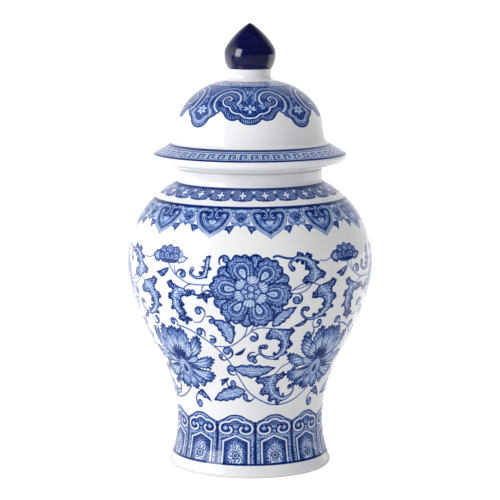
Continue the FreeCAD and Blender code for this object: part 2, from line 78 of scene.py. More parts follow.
EDGE_BLUR = 0.22    # half the width, in mm, over which a painted edge fades
FAR = 1e9           # mm, farther than anything on a piece
TINY = 1e-12        # keeps a division by a length of nothing finite


class Canvas:
    """Print tone over a strip that repeats sideways: 0 is bare glaze, 1 is full cobalt."""

    def __init__(self, radius, columns, heights):
        self.period = radius * 2 * math.pi / QUARTERS
        self.step = self.period / columns
        self.columns = columns
        self.v = np.asarray(heights, float)
        self.tone = np.zeros((len(self.v), columns))

    def window(self, low_u, high_u, low_v, high_v):
        """The samples inside a box: their places in the field, and their u and v."""
        first = math.floor(low_u / self.step)
        last = min(math.ceil(high_u / self.step), first + self.columns - 1)
        cols = np.arange(first, last + 1)
        rows = np.nonzero((self.v >= low_v) & (self.v <= high_v))[0]
        u, v = np.meshgrid(cols * self.step, self.v[rows])
        return np.ix_(rows, cols % self.columns), u, v

    def round_window(self, low, high):
        """The samples between two heights, all the way round."""
        return self.window(0, self.period - self.step, low, high)

    def lay(self, place, tone, cover):
        """Puts tone over what is there; cover is 1 where it hides that."""
        self.tone[place] = self.tone[place] * (1 - cover) + tone * cover

    def paint(self, box, distance, ramp, texture=None):
        """Lays tone where distance is negative; ramp gives tone by depth inside the edge."""
        place, u, v = self.window(*box)
        if u.size == 0:
            return
        away = distance(u, v)
        cover = np.clip(0.5 - away / (2 * EDGE_BLUR), 0.0, 1.0)
        tone = np.interp(-away, *zip(*ramp))
        if texture is not None:
            tone = texture(u, v, -away, tone)
        self.lay(place, tone, cover)


def smooth(points, closed=False, fine=8, corners=()):
    """A curve through the points (Catmull-Rom); corners lists the points that stay sharp."""
    pts = np.asarray(points, float)
    count = len(pts)
    t = np.linspace(0, 1, fine, endpoint=False)[:, None]
    out = []
    for i in range(count if closed else count - 1):
        after = (i + 1) % count
        p1, p2 = pts[i], pts[after]
        p0 = pts[i - 1] if (closed or i > 0) and i not in corners else p1
        p3 = pts[(i + 2) % count] if (closed or i + 2 < count) and after not in corners else p2
        cubic = (3 * p1 - p0 - 3 * p2 + p3) * t**3
        out.append(0.5 * (2 * p1 + (p2 - p0) * t + (2 * p0 - 5 * p1 + 4 * p2 - p3) * t**2 + cubic))
    return np.vstack(out if closed else [*out, pts[-1:]])


def bounds(points, margin):
    """The box round some points, with a margin."""
    (low_u, low_v), (high_u, high_v) = points.min(0) - margin, points.max(0) + margin
    return low_u, high_u, low_v, high_v


def lengths(points):
    """How far along a path each of its points lies."""
    return np.concatenate([[0], np.cumsum(np.hypot(*np.diff(points, axis=0).T))])


def nearest_on(p, q, u, v):
    """How far along the straight piece from p to q the nearest point lies, and the way to it."""
    du, dv = q - p
    t = np.clip(((u - p[0]) * du + (v - p[1]) * dv) / (du * du + dv * dv + TINY), 0, 1)
    return t, u - p[0] - t * du, v - p[1] - t * dv


def stroke_distance(points, radii):
    """Distance to a brush stroke whose half width changes along it."""
    radii = np.broadcast_to(radii, len(points))

    def distance(u, v):
        best = np.full(u.shape, FAR)
        for p, q, r, s in zip(points, points[1:], radii, radii[1:]):
            t, across, up = nearest_on(p, q, u, v)
            np.minimum(best, np.hypot(across, up) - (r + (s - r) * t), out=best)
        return best

    return distance


def outline_distance(points):
    """Signed distance to a closed outline, negative inside."""
    def distance(u, v):
        best = np.full(u.shape, FAR)
        inside = np.zeros(u.shape, bool)
        for p, q in zip(points, np.roll(points, -1, 0)):
            t, across, up = nearest_on(p, q, u, v)
            np.minimum(best, across**2 + up**2, out=best)
            du, dv = q - p
            if dv != 0:
                inside ^= ((p[1] > v) != (q[1] > v)) & (u < p[0] + (v - p[1]) * du / dv)
        return np.sqrt(best) * np.where(inside, -1, 1)

    return distance


# ---------------------------------------------------------------- textures

# a ramp lists (mm inside the edge, tone)
LEAF_RAMP = [(0, 0.97), (0.75, 0.93), (1.3, 0.72), (2.4, 0.56), (4.0, 0.46)]
CURL_RAMP = [(0, 0.98), (0.75, 0.95), (1.1, 0.7), (2.0, 0.5)]
FAN_RAMP = [(0, 0.96), (0.5, 0.9), (0.85, 0.22), (3, 0.1)]


# dots, in cells of their grid
DOT_RADIUS = 0.48
DOT_BLUR = 0.22
STRAY = 0.6         # how much of its cell a dot's middle may lie in, each way


def scatter(x, y, across, up, spread):
    """A number from 0 to 1 for each cell of a grid, the same in every run."""
    return np.modf(np.abs(np.sin(x * across + y * up)) * spread)[0]


def speckle(u, v, pitch):
    """Round dots, one in each cell of a grid, moved by a fixed scatter: 1 in a dot, 0 between dots."""
    across, up = np.floor(u / pitch), np.floor(v / pitch)
    nearest = np.full(u.shape, FAR)
    margin = (1 - STRAY) / 2
    for du in (-1, 0, 1):
        for dv in (-1, 0, 1):
            x, y = across + du, up + dv
            off_u = u / pitch - x - margin - STRAY * scatter(x, y, 12.9, 78.2, 4375.8)
            off_v = v / pitch - y - margin - STRAY * scatter(x, y, 39.3, 11.1, 2466.3)
            np.minimum(nearest, np.hypot(off_u, off_v), out=nearest)
    return np.clip((DOT_RADIUS - nearest) / DOT_BLUR, 0, 1)


def fade(value, start, length):
    """Rises from 0 at start to 1 over a length, which may be negative."""
    return np.clip((value - start) / length, 0, 1)


def wave(phase, contrast, level):
    """Stripes, 1 in a stripe and 0 between; phase counts in radians."""
    return np.clip(contrast * np.cos(phase) + level, 0, 1)


def stipple(pitch, strength):
    """Pale dots, which lighten the tone inside a shape."""
    def texture(u, v, depth, tone):
        return tone * (1 - strength * speckle(u, v, pitch) * fade(depth, 0.7, 0.5))
    return texture


def fan_lines(centre, count, strength):
    """Fine lines that spread from a point."""
    def texture(u, v, depth, tone):
        rays = wave(count * np.arctan2(v - centre[1], u - centre[0]), 1.6, -0.5)
        return np.clip(tone + strength * rays * fade(depth, 0.35, 0.4), 0, 1)
    return texture


def ticks(centre, count, strength, low, high):
    """Short rays inside a petal, in the band between two depths."""
    def texture(u, v, depth, tone):
        rays = wave(count * np.arctan2(v - centre[1], u - centre[0]), 1.8, -0.3)
        return np.clip(tone + strength * rays * fade(depth, low, 0.4) * fade(depth, high, -1.2), 0, 1)
    return texture


# ---------------------------------------------------------------- strokes and filled shapes


def on_ray(centre, degrees, distance):
    """The point at this distance from centre in a direction."""
    angle = math.radians(degrees)
    return np.array([centre[0] + distance * math.cos(angle), centre[1] + distance * math.sin(angle)])


def turned(points, centre, degrees):
    """Points moved from a motif's own axes to its place on the print."""
    c, s = math.cos(math.radians(degrees)), math.sin(math.radians(degrees))
    x, y = points.T
    return np.stack([centre[0] + x * c - y * s, centre[1] + x * s + y * c], 1)


def shifted(points, x):
    """Points moved sideways."""
    return np.array(points, float) + (x, 0)


def mirrored(half):
    """A closed outline from its right half, which runs from one end of the centre line to the other."""
    return [*half, *[(-x, y) for x, y in reversed(half) if x > 0]]


def flat(tone):
    """A ramp of one tone."""
    return [(0, tone), (1, tone)]


def fill(canvas, outline, ramp, texture=None):
    """Fills a closed outline."""
    outline = np.asarray(outline, float)
    canvas.paint(bounds(outline, 1), outline_distance(outline), ramp, texture)


def line(canvas, points, half_width, tone=0.9, fine=8):
    """One brush line of even width through the points; fine 1 keeps its corners."""
    path = smooth(points, fine=fine)
    canvas.paint(bounds(path, half_width + 1), stroke_distance(path, half_width), flat(tone))


def twins(canvas, x, points, *strokes, fine=8):
    """The same lines on both sides of a centre line; each stroke is (half width, tone)."""
    for half_width, tone in strokes:
        for side in (1, -1):
            line(canvas, [(x + side * dx, y) for dx, y in points], half_width, tone, fine)


def stripe(canvas, middle, half_width, tone):
    """An even line round the whole piece."""
    place, u, v = canvas.round_window(middle - half_width - 1, middle + half_width + 1)
    canvas.lay(place, tone, np.clip(0.5 + (half_width - np.abs(v - middle)) / 0.4, 0, 1))


def wash(canvas, low, high, tone_of):
    """Sets the tone of every sample between two heights."""
    place, u, v = canvas.round_window(low, high)
    if u.size:
        canvas.tone[place] = tone_of(u, v)


def petal(canvas, centre, degrees, length, width, ramp, texture=None, swell=0.0, scallops=0, depth=0.06):
    """A petal whose tip points along degrees; length and width are half its size.

    swell widens it towards the tip. scallops is how many waves its edge has, depth how deep they are.
    """
    t = np.linspace(0, 2 * np.pi, 72, endpoint=False)
    bumps = 2 * np.abs(np.cos(0.5 * scallops * t)) ** 0.8 - 1.2
    edge = 1 + depth * bumps * (0.5 + 0.5 * np.cos(t)) if scallops else 1
    x = length * np.cos(t) * edge
    y = width * np.sin(t) * (1 + swell * np.cos(t)) * edge
    fill(canvas, turned(np.stack([x, y], 1), centre, degrees), ramp, texture)


def spray(canvas, centre, turns, far, length, width, ramp, texture=None, **form):
    """Petals that point away from a centre, with their middles this far from it."""
    for turn in turns:
        petal(canvas, on_ray(centre, turn, far), turn, length, width, ramp, texture, **form)


# ---------------------------------------------------------------- curls and leaves

CURL_POINTS = 26
CURL_LENGTH = 2.9   # against its size, if all its steps were as long as the first


def curl(canvas, start, heading, size, side=1, turn=250.0):
    """A comma: a thin stem that leaves start along heading and winds up into a round, filled end."""
    t = np.linspace(0, 1, CURL_POINTS)
    angle = np.radians(heading + side * turn * t**1.25)
    steps = size * CURL_LENGTH / CURL_POINTS * (1.0 - 0.62 * t)
    path = np.array(start) + np.stack([np.cumsum(np.cos(angle) * steps), np.cumsum(np.sin(angle) * steps)], 1)
    radii = 0.36 + size * (0.17 * t + 0.2 * t**3)
    canvas.paint(bounds(path, size), stroke_distance(path, radii), CURL_RAMP, stipple(1.6, 0.5))


def leaf(canvas, base, tip, width, bend=0.0, waves=5):
    """A pointed leaf with a wavy edge, a dotted blade and a pale midrib."""
    base, tip = np.array(base, float), np.array(tip, float)
    length = math.dist(base, tip)
    angle = math.degrees(math.atan2(*(tip - base)[::-1]))

    def spine(t):
        return bend * np.sin(np.pi * t) * length

    def half(t):
        return 0.5 * width * np.sin(np.pi * t**0.8) ** 0.8

    t = np.linspace(0, 1, 40)
    wavy = half(t) * (1 + 0.1 * np.cos(2 * np.pi * waves * t))
    upper = np.stack([t * length, spine(t) + wavy], 1)
    lower = np.stack([t * length, spine(t) - wavy], 1)[::-1]

    def blade(u, v, depth, tone):
        c, s = math.cos(math.radians(angle)), math.sin(math.radians(angle))
        x = (u - base[0]) * c + (v - base[1]) * s
        y = (v - base[1]) * c - (u - base[0]) * s
        along = np.clip(x / length, 0, 1)
        off = np.abs(y - spine(along))
        share = off / np.maximum(half(along), 0.3)
        border = fade(share, 0.42, 0.25) + np.interp(along, [0.62, 0.95], [0.0, 1.0])
        inside = np.interp(np.clip(border, 0, 1), [0, 1], [0.3, 0.82])
        hatch = wave(2 * np.pi * (x - 0.7 * off) / 1.7, 1.6, -0.5)
        inside = inside + 0.45 * hatch * (share < 0.55) * (along < 0.8)
        inside = inside * (1 - 0.62 * speckle(u, v, 1.9) * fade(depth, 0.8, 0.4))
        pale = fade(off, 0.8, -0.3) * fade(depth, 0.8, 0.4)
        rib = fade(off, 0.34, -0.2) * (depth > 0.3)
        edge = np.where(depth < 1.25, np.maximum(tone, 0.9), 0)
        return np.clip(np.maximum(np.maximum(inside * (1 - pale) + 0.1 * pale, edge), 0.9 * rib), 0, 1)

    fill(canvas, turned(np.vstack([upper, lower[1:-1]]), base, angle), LEAF_RAMP, blade)


def melt(first, second, blend):
    """The union of two distances with a rounded web where they meet."""
    mix = np.clip(0.5 + 0.5 * (second - first) / blend, 0, 1)
    return second * (1 - mix) + first * mix - blend * mix * (1 - mix)


def lobed_edge(path, along, lobes, last):
    """One side of a lobed leaf, from the start of its midrib to where the blade ends.

    Each lobe is broad at its tip, and the edge dips towards the midrib between two lobes.
    """
    def rib(where):
        return np.array([np.interp(where, along, path[:, 0]), np.interp(where, along, path[:, 1])])

    points = [rib(0)]
    before = None
    for where, tip in sorted(lobes, key=lambda lobe: lobe[0]):
        tip = np.array(tip, float)
        way = (tip - rib(where)) / math.dist(tip, rib(where))
        beside = np.array([-way[1], way[0]])
        if beside @ (rib(min(where + 0.1, 1)) - rib(max(where - 0.1, 0))) < 0:
            beside = -beside
        if before is not None:
            dip = 0.5 * (before + tip)
            points.append(dip + 0.45 * (rib(0.5 * (where + last_where)) - dip))
        points += [tip - 3.0 * way - 1.9 * beside, tip - 1.6 * way, tip - 3.0 * way + 1.9 * beside]
        before, last_where = tip, where
    return [*points, rib(last)]


def knob(centre, radius):
    """Distance to a round knob on the edge of a leaf."""
    return lambda u, v: np.hypot(u - centre[0], v - centre[1]) - radius


LONG_LOBE = 6.5     # mm, from which a lobe has three knobs


def lobe_knobs(foot, tip):
    """The knobs on one lobe: one at its tip, and two more beside it where the lobe is long."""
    long = math.dist(foot, tip)
    back = (foot - tip) / long
    size = min(1.0, 0.55 + 0.05 * long)
    knobs = [knob(tip + 1.5 * size * back, 1.6 * size)]
    if long > LONG_LOBE:
        beside = np.array([-back[1], back[0]])
        knobs += [knob(tip + 3.2 * back + side * 2.0 * beside, 1.45) for side in (-1, 1)]
    return knobs


def acanthus(canvas, midrib, lobes, width=1.9, bulb=1.0, tail=0.6):
    """A scrolling leaf: a pale, dotted midrib in a blade with dark, round-tipped lobes.

    lobes lists (how far along the midrib, the lobe's tip). bulb is the half width of the
    rolled end, tail that of the start.
    """
    path = smooth(midrib)
    along = np.linspace(0, 1, len(path))
    last = min(1.0, max(where for where, tip in lobes) + 0.14)
    sides = {True: [], False: []}
    knobs = []
    for where, tip in lobes:
        k = min(int(where * (len(path) - 1)), len(path) - 2)
        run, off = path[k + 1] - path[k], np.array(tip) - path[k]
        sides[bool(run[0] * off[1] - run[1] * off[0] > 0)].append((where, tip))
        knobs += lobe_knobs(path[int(where * (len(path) - 1))], np.array(tip, float))
    left, right = [lobed_edge(path, along, sides[side], last) for side in (True, False)]
    blade = outline_distance(smooth([*left, *right[-2:0:-1]], closed=True, fine=5))
    widths = [tail, width * 0.9, width, 0.95, bulb * 0.75, bulb]
    radii = np.interp(along, [0, 0.12, 0.4, 0.72, 0.9, 1], widths)
    spine = stroke_distance(path, radii)
    rib = stroke_distance(path[: max(4, int(len(path) * 0.82))], 0)

    def away(u, v):
        near = melt(spine(u, v), blade(u, v), 1.2)
        for lobe in knobs:
            near = melt(near, lobe(u, v), 1.0)
        return near

    def shade(u, v, depth, tone):
        off = rib(u, v)
        tone = np.clip(tone + np.interp(off, [2.0, 5.0], [0.05, 0.42]), 0, 1)
        tone = stipple(1.75, 0.7)(u, v, depth, tone)
        pale = fade(off, width * 0.62, -0.4) * fade(depth, 0.6, 0.4)
        tone = tone * (1 - pale) + (0.05 + 0.45 * speckle(u, v, 1.5)) * pale
        border = np.clip(1 - np.abs(off - width * 0.78) / 0.3, 0, 1)
        return np.maximum(tone, 0.88 * border * (depth > 0.3))

    canvas.paint(bounds(np.vstack([path, *left, *right]), 3), away, LEAF_RAMP, shade)


# ---------------------------------------------------------------- flowers

RUFFLE = 3.6        # mm between two waves of a ruffled petal edge
TUFT_HAIRS = 30


def rosette(canvas, centre, size, tilt=0.0):
    """The large flower: six back petals, six nested front petals, a ring of fans, a heart."""
    dark = [(0, 1.0), (1.05, 0.98), (1.7, 0.86), (3.4, 0.66), (6, 0.5)]
    pale = [(0, 0.98), (0.6, 0.95), (0.9, 0.2), (1.8, 0.22), (2.4, 0.5), (4, 0.66)]
    drop = [(0, 0.98), (0.7, 0.94), (1.0, 0.28), (1.8, 0.2), (2.6, 0.4), (4, 0.55)]
    front = [tilt + 60 * k for k in range(6)]
    between = [turn + 30 for turn in front]

    def part(turn, far, length, width, ramp, texture, *form):
        middle = on_ray(centre, turn, size * far)
        petal(canvas, middle, turn, size * length, size * width, ramp, texture, *form)

    for turn in between:
        part(turn, 0.7, 0.29, 0.34, dark, stipple(1.7, 0.55), 0.15, 7, 0.12)
    for turn in front:
        fold = on_ray(centre, turn, size * 0.57)
        part(turn, 0.62, 0.41, 0.335, dark, stipple(1.6, 0.62), 0.28, 10, 0.1)
        part(turn, 0.57, 0.28, 0.21, pale, ticks(fold, 22, 0.4, 1.2, 4.0), 0.3, 10, 0.04)
        part(turn, 0.53, 0.17, 0.105, drop, stipple(1.4, 0.5), 0.4)
    for turn in between:
        hatch = fan_lines(on_ray(centre, turn, size * 0.1), 22, 0.42)
        part(turn, 0.29, 0.17, 0.17, FAN_RAMP, hatch, 0.3, 8, 0.07)
    middle = [*[(turn, 0.16) for turn in (180, 0)], *[(turn, 0.15) for turn in (125, 55, 235, 305)],
              (270, 0.1), (90, 0.08)]
    for turn, far in middle:
        part(turn, far, 0.1, 0.1, FAN_RAMP, fan_lines(centre, 26, 0.42), 0.2, 6, 0.09)


def blade_petal(centre, turn, reach, wide, bend, ruffle):
    """The outline of a long petal that widens to a bent tip; ruffle is how deep its edge waves."""
    t = np.linspace(0, 1, 40)
    half = wide * np.sin(np.pi * t**1.7) ** 0.7 * (0.35 + 0.65 * t)
    lean = np.radians(turn) + np.radians(bend) * t**2
    spine = np.stack([reach * t * np.cos(lean), reach * t * np.sin(lean)], 1)
    side = np.stack([-np.sin(lean), np.cos(lean)], 1) * half[:, None]
    edge = np.vstack([spine + side, (spine - side)[::-1]])
    along = lengths(edge)
    even = np.linspace(0, along[-1], 120)
    edge = np.stack([np.interp(even, along, edge[:, k]) for k in (0, 1)], 1)
    run = np.gradient(edge, axis=0)
    out = np.stack([run[:, 1], -run[:, 0]], 1) / np.maximum(np.hypot(*run.T), TINY)[:, None]
    depth = ruffle * fade(np.hypot(*edge.T) / reach, 0.45, 0.35)
    waves = 0.55 - np.abs(np.sin(np.pi * even / RUFFLE + 0.3 * turn))
    return edge + out * (depth * waves)[:, None] + centre


def peony(canvas, centre, size):
    """The low, open flower seen from the side, with rolled petals round a dark tuft."""
    x, y = centre
    eye = (x + 0.02 * size, y - 0.14 * size)

    def veined(reach, dark):
        def texture(u, v, depth, tone):
            far = np.hypot(u - eye[0], v - eye[1]) / reach
            angle = np.arctan2(v - eye[1], u - eye[0])
            vein = wave(58 * (angle + 0.16 * np.sin(3.2 * far)), 2.4, -1.3)
            vein = vein * np.interp(far, [0.2, 0.5], [0.3, 0.75])
            tip = np.interp(far, [0.62, 0.8, 0.93], [0.0, dark * 0.55, dark])
            tone = np.clip(np.maximum(tone, tip) + vein * (depth > 0.6) * (1 - 0.7 * tip), 0, 1)
            return tone * (1 - 0.42 * speckle(u, v, 1.5) * (far > 0.68) * (depth > 0.8))
        return texture

    # each petal: direction, reach, half width, bend in degrees, depth of the ruffle
    outer = [
        (86, 0.84, 0.3, 0, 1.7), (54, 0.88, 0.2, 16, 1.8), (124, 0.9, 0.19, -18, 1.8),
        (28, 0.98, 0.19, 14, 1.9), (152, 0.98, 0.19, -20, 1.9), (168, 0.86, 0.07, 24, 0.6),
        (12, 0.88, 0.08, -20, 0.6), (-2, 1.02, 0.16, 10, 1.8), (178, 1.06, 0.15, -12, 1.8),
        (192, 0.9, 0.07, 14, 0.7), (346, 0.9, 0.08, -14, 0.7), (327, 0.98, 0.19, 18, 1.8),
        (211, 0.96, 0.19, -18, 1.8), (302, 0.76, 0.12, 26, 1.2), (240, 0.8, 0.12, -26, 1.2),
        (282, 0.66, 0.2, 10, 1.5), (256, 0.66, 0.2, -10, 1.5),
    ]
    inner = [
        (90, 0.66, 0.2, 0, 1.2), (60, 0.68, 0.16, 12, 1.2), (120, 0.68, 0.16, -12, 1.2),
        (34, 0.64, 0.14, 16, 1.2), (146, 0.64, 0.14, -16, 1.2), (8, 0.58, 0.1, 8, 0.8),
        (176, 0.58, 0.1, -8, 0.8),
    ]
    outer_ramp = [(0, 0.97), (0.75, 0.93), (1.15, 0.4), (2.2, 0.14), (6, 0.08)]
    inner_ramp = [(0, 0.9), (0.5, 0.8), (0.9, 0.14), (4, 0.05)]
    for petals, ramp, dark in ((outer, outer_ramp, 0.95), (inner, inner_ramp, 0.4)):
        for turn, reach, wide, bend, ruffle in petals:
            outline = blade_petal(eye, turn, reach * size, wide * size, bend, ruffle)
            fill(canvas, outline, ramp, veined(reach * size, dark))
    # the dark tuft, a fan of short hairs
    for k in range(TUFT_HAIRS):
        turn = -25 + k * 230 / (TUFT_HAIRS - 1)
        reach = size * (0.17 + 0.1 * math.sin(k * 1.7) ** 2)
        root, tip = on_ray(centre, turn, size * 0.02), on_ray(centre, turn, reach)
        line(canvas, [root, on_ray(centre, turn + 9, reach * 0.6), tip], 0.5, 0.92)
    # the lip, ringed, with a seed in it
    lip = (x + 0.01 * size, y - size * 0.3)
    for k, scale in enumerate((1.0, 0.82, 0.64, 0.46)):
        petal(canvas, (lip[0], lip[1] - 0.5 * k), 270, size * 0.23 * scale, size * 0.2 * scale,
              [(0, 0.8), (0.35, 0.72), (0.65, 0.14), (4, 0.1)], swell=0.1)
    seed = (lip[0], lip[1] + size * 0.01)
    petal(canvas, seed, 90, size * 0.1, size * 0.055, [(0, 0.95), (2, 0.92)], swell=-0.3)


def bud(canvas, centre, size):
    """A half-open lotus bud lying on its side."""
    ramp = [(0, 0.98), (0.85, 0.95), (1.1, 0.35), (1.45, 0.35), (1.7, 0.92), (2.2, 0.72), (3.2, 0.4)]

    def spot(dx, dy):
        return centre[0] + dx * size, centre[1] + dy * size

    leaf(canvas, spot(-0.45, -0.05), spot(-1.08, -0.02), 0.62 * size, 0.0, 3)
    leaf(canvas, spot(0.35, -0.12), spot(1.12, -0.02), 0.42 * size, -0.06, 3)
    # each petal: place, direction, half length, half width
    petals = [
        (0.52, 0.1, 30, 0.3, 0.2), (-0.36, 0.2, 118, 0.3, 0.22), (0.34, 0.22, 64, 0.28, 0.22),
        (-0.02, 0.24, 92, 0.32, 0.23), (-0.42, -0.04, 160, 0.26, 0.2), (0.34, -0.04, 20, 0.26, 0.19),
        (-0.14, 0.0, 118, 0.24, 0.18), (0.14, -0.04, 60, 0.2, 0.16),
    ]
    for dx, dy, turn, length, wide in petals:
        petal(canvas, spot(dx, dy), turn, length * size, wide * size, ramp, stipple(1.5, 0.4), 0.15, 5, 0.05)
    petal(canvas, spot(-0.02, -0.27), 0, 0.5 * size, 0.09 * size, LEAF_RAMP)


# ---------------------------------------------------------------- the scroll round the belly
#
# Places are (u, v) in mm: u from the front of the jar, v up from the table.


def draw_vines(canvas):
    """The long wandering stem and the short ones that leave it."""
    stem = [
        (-62, 124), (-53.8, 122.6), (-42.4, 117.2), (-30.3, 108.5), (-20.4, 97.9), (-12.9, 85), (-4.5, 72.9),
        (4.4, 66.1), (20.1, 59.9), (34.8, 58.5), (49.5, 60.7), (60.6, 65.1), (70.1, 71),
    ]
    branches = [
        (0.35, [(-62.5, 173.3), (-58.5, 168), (-55.6, 165.1), (-46.9, 160), (-40.6, 158.9), (-27.5, 159.2)]),
        (0.3, [(-57.5, 172), (-56.5, 168), (-55, 165.2)]),
        (0.35, [(-43, 159.2), (-47, 157.5), (-49.5, 154.5)]),
        (0.35, [(-33.1, 158.9), (-34.8, 156), (-34.2, 151.5)]),
        (0.375, [(-1.5, 129), (-4.5, 118.5), (-12.9, 111.2), (-19.7, 109), (-30.3, 108.9)]),
        (0.325, [(4, 130), (0.3, 121.7), (-5.6, 116.9)]),
        (0.375, [(0.3, 121.7), (4, 124), (9.1, 125.2), (17, 124.4)]),
        (0.375, [(28.7, 153), (34, 152), (41, 154.2), (45.5, 159)]),
        (0.375, [(30, 154.5), (35, 158), (41, 160), (46.5, 159.8), (52, 157.2)]),
        (0.225, [(31, 155.3), (36, 156), (40, 157.5), (45, 159.3)]),
        (0.25, [(53, 176.8), (58, 176.2), (64, 178.6)]),
        (0.325, [(51.8, 130), (51.2, 126.5), (53, 123)]),
        (0.425, [(38.5, 94.5), (31, 91), (27.5, 87), (23.8, 83.4)]),
        (0.35, [(-45, 128.2), (-39, 128.8), (-34.4, 134.5)]),
    ]
    for half_width, points in [(0.45, stem), *branches]:
        line(canvas, points, half_width)


def draw_scrolling_leaves(canvas):
    """Six scrolling leaves; a lobe is (how far along the midrib it leaves, its tip)."""
    midrib = [
        (46.4, 159.8), (48.6, 168), (44.4, 176.2), (37, 179.6), (30.8, 178.4), (28.6, 174.5), (30.6, 171.6),
    ]
    outer = [(0.12, (57.4, 166.6)), (0.3, (52, 175.4)), (0.45, (46.5, 181.2)), (0.6, (39.5, 182.6))]
    inner = [(0.1, (37.8, 161.8)), (0.3, (40, 170.6)), (0.46, (38, 174.4)), (0.6, (34.5, 176))]
    acanthus(canvas, midrib, outer + inner, bulb=2.1)
    line(canvas, [(32, 179.4), (26, 180), (20, 181.8), (17, 181)], 0.8)

    midrib = [
        (52, 157), (57, 153.5), (61.6, 147.5), (62.4, 140.5), (58.5, 135.2), (52, 131.2), (45, 131),
        (40.2, 135), (40.6, 139.4), (44, 139),
    ]
    outer = [(0.06, (67.4, 160)), (0.22, (69.4, 146)), (0.34, (68.2, 138.6)), (0.47, (62.6, 131.6))]
    inner = [(0.08, (46.8, 147.8)), (0.3, (56, 141.6)), (0.42, (53.8, 137.4)), (0.53, (49.2, 134.6))]
    acanthus(canvas, midrib, outer + inner, bulb=2.0)
    leaf(canvas, (46, 130.6), (34.4, 125.4), 3.6, 0.1)

    midrib = [(-48.8, 154), (-55, 153), (-58.6, 146), (-57.4, 138), (-51.2, 131)]
    outer = [
        (0.02, (-64, 158.6)), (0.1, (-43.6, 150.2)), (0.4, (-64.4, 146)), (0.66, (-63.6, 137.2)),
        (0.95, (-58.4, 129.6)), (1, (-51.4, 125.4)),
    ]
    inner = [(1, (-45.6, 129.6)), (0.6, (-50.4, 142)), (0.8, (-49.8, 134.8))]
    acanthus(canvas, midrib, outer + inner)

    midrib = [(-30.5, 179.5), (-31, 173), (-32.5, 166.5), (-38.5, 164.4), (-43.2, 167), (-42.2, 170.8)]
    outer = [(0.0, (-28.4, 181.4)), (0.2, (-27.6, 171.2)), (0.4, (-30.8, 164.4))]
    inner = [(0.1, (-34.2, 178)), (0.24, (-35.4, 173)), (0.36, (-37, 168.4))]
    acanthus(canvas, midrib, outer + inner, width=1.6, bulb=1.9, tail=1.4)

    midrib = [
        (16.8, 124), (24, 120.8), (29.6, 113.5), (29.4, 105.2), (24, 100.4), (16.5, 99.6), (9.6, 103),
        (8.8, 108.6), (13, 109),
    ]
    outer = [(0.12, (36.4, 121.4)), (0.3, (37, 110)), (0.42, (33.6, 103)), (0.54, (26.4, 98))]
    inner = [(0.1, (12.6, 116.2)), (0.3, (23.6, 110)), (0.5, (20.4, 104))]
    acanthus(canvas, midrib, outer + inner, bulb=2.2)

    midrib = [
        (25, 84.4), (21.6, 77), (24.8, 69), (33.4, 63.8), (42.2, 63.6), (49, 68), (48.6, 73.4), (44, 73),
    ]
    outer = [(0.04, (5.6, 79.2)), (0.22, (10.6, 68.6)), (0.36, (20, 62.8)), (0.5, (29, 60.4))]
    inner = [(0.04, (36.8, 83.6)), (0.34, (31.8, 73.2)), (0.5, (37.6, 68.2))]
    acanthus(canvas, midrib, outer + inner, bulb=2.2)


def scroll_band(canvas):
    """The main band: large flower, low flowers, buds, scrolling leaves, vines and their sprigs."""
    draw_vines(canvas)
    rosette(canvas, (0.7, 154.6), 28.6, -8)
    # the four broad leaves: base, tip, width, bend
    for base, tip, width, bend in [
        ((-15.2, 111.5), (-30, 131.5), 12.5, -0.2), ((17.2, 126), (35.2, 141.5), 9.5, 0.06),
        ((-15.5, 90.3), (25, 90.6), 11.5, -0.07), ((-4.8, 70.8), (-42.5, 61.8), 11.5, -0.04),
    ]:
        leaf(canvas, base, tip, width, bend)
    draw_scrolling_leaves(canvas)
    peony(canvas, (70.4, 97.2), 36.5)
    bud(canvas, (-62.6, 179.2), 15.2)
    leaf(canvas, (-62, 170), (-74.6, 165.6), 4.4, 0.12)
    # curls: start, heading, size, side, turn
    for curl_form in [
        ((-66, 169), -70, 4.2, -1, 170), ((-55.4, 165), 80, 6.0, -1, 230), ((-21, 174.6), 120, 6.2, -1, 230),
        ((-34.2, 152.5), 50, 4.6, -1, 170), ((-34.6, 152.5), -140, 4.6, -1, 120),
        ((-34.4, 134.4), 80, 6.4, 1, 230), ((-33.8, 133), 30, 5.0, -1, 220), ((-37.9, 116), 60, 6.2, 1, 240),
        ((-33.5, 117.5), 10, 5.2, -1, 240), ((-20.5, 98.6), 15, 8.0, 1, 250),
        ((-20.5, 98.4), 215, 4.4, -1, 160), ((-13.8, 85), 200, 7.6, -1, 250),
        ((-24.5, 79.5), 265, 7.6, 1, 230), ((5.6, 65.6), 225, 6.8, -1, 130),
        ((34.4, 152.4), -20, 7.0, -1, 260), ((1.6, 121.8), -10, 6.0, -1, 230),
        ((4.8, 104.2), 170, 7.0, 1, 250), ((53, 123), -60, 6.0, -1, 200),
        ((53, 123.4), -20, 5.0, 1, 200), ((-61, 124), 80, 5.4, 1, 230), ((9.5, 103.2), 190, 5, 1, 120),
    ]:
        curl(canvas, *curl_form)
    # small leaves on the sprigs, and the spray under the low flower
    for leaf_form in [
        ((-34.2, 152.6), (-31.6, 144.2), 3.8, 0), ((-34.2, 152.4), (-39.6, 147.6), 3.4, 0.1),
        ((-33.8, 152.4), (-28.2, 149.4), 3.6, -0.1), ((-13.5, 102), (-3.6, 108.6), 3.0, -0.12),
        ((-21.5, 81.6), (-32, 79.4), 3.0, 0.12), ((77, 66.5), (95.5, 60), 4.6, 0.12),
    ]:
        leaf(canvas, *leaf_form)
    curl(canvas, (79, 66), 200, 8.2, 1, 220)
    curl(canvas, (80, 66), 60, 6.0, -1, 220)
    leaf(canvas, (58.6, 77), (57.6, 70.6), 3.0, 0)
    leaf(canvas, (-24.8, 79.6), (-31, 74.2), 3.4, -0.1)
    curl(canvas, (84, 76), -60, 5.4, 1, 210)


# ---------------------------------------------------------------- the foot's panels

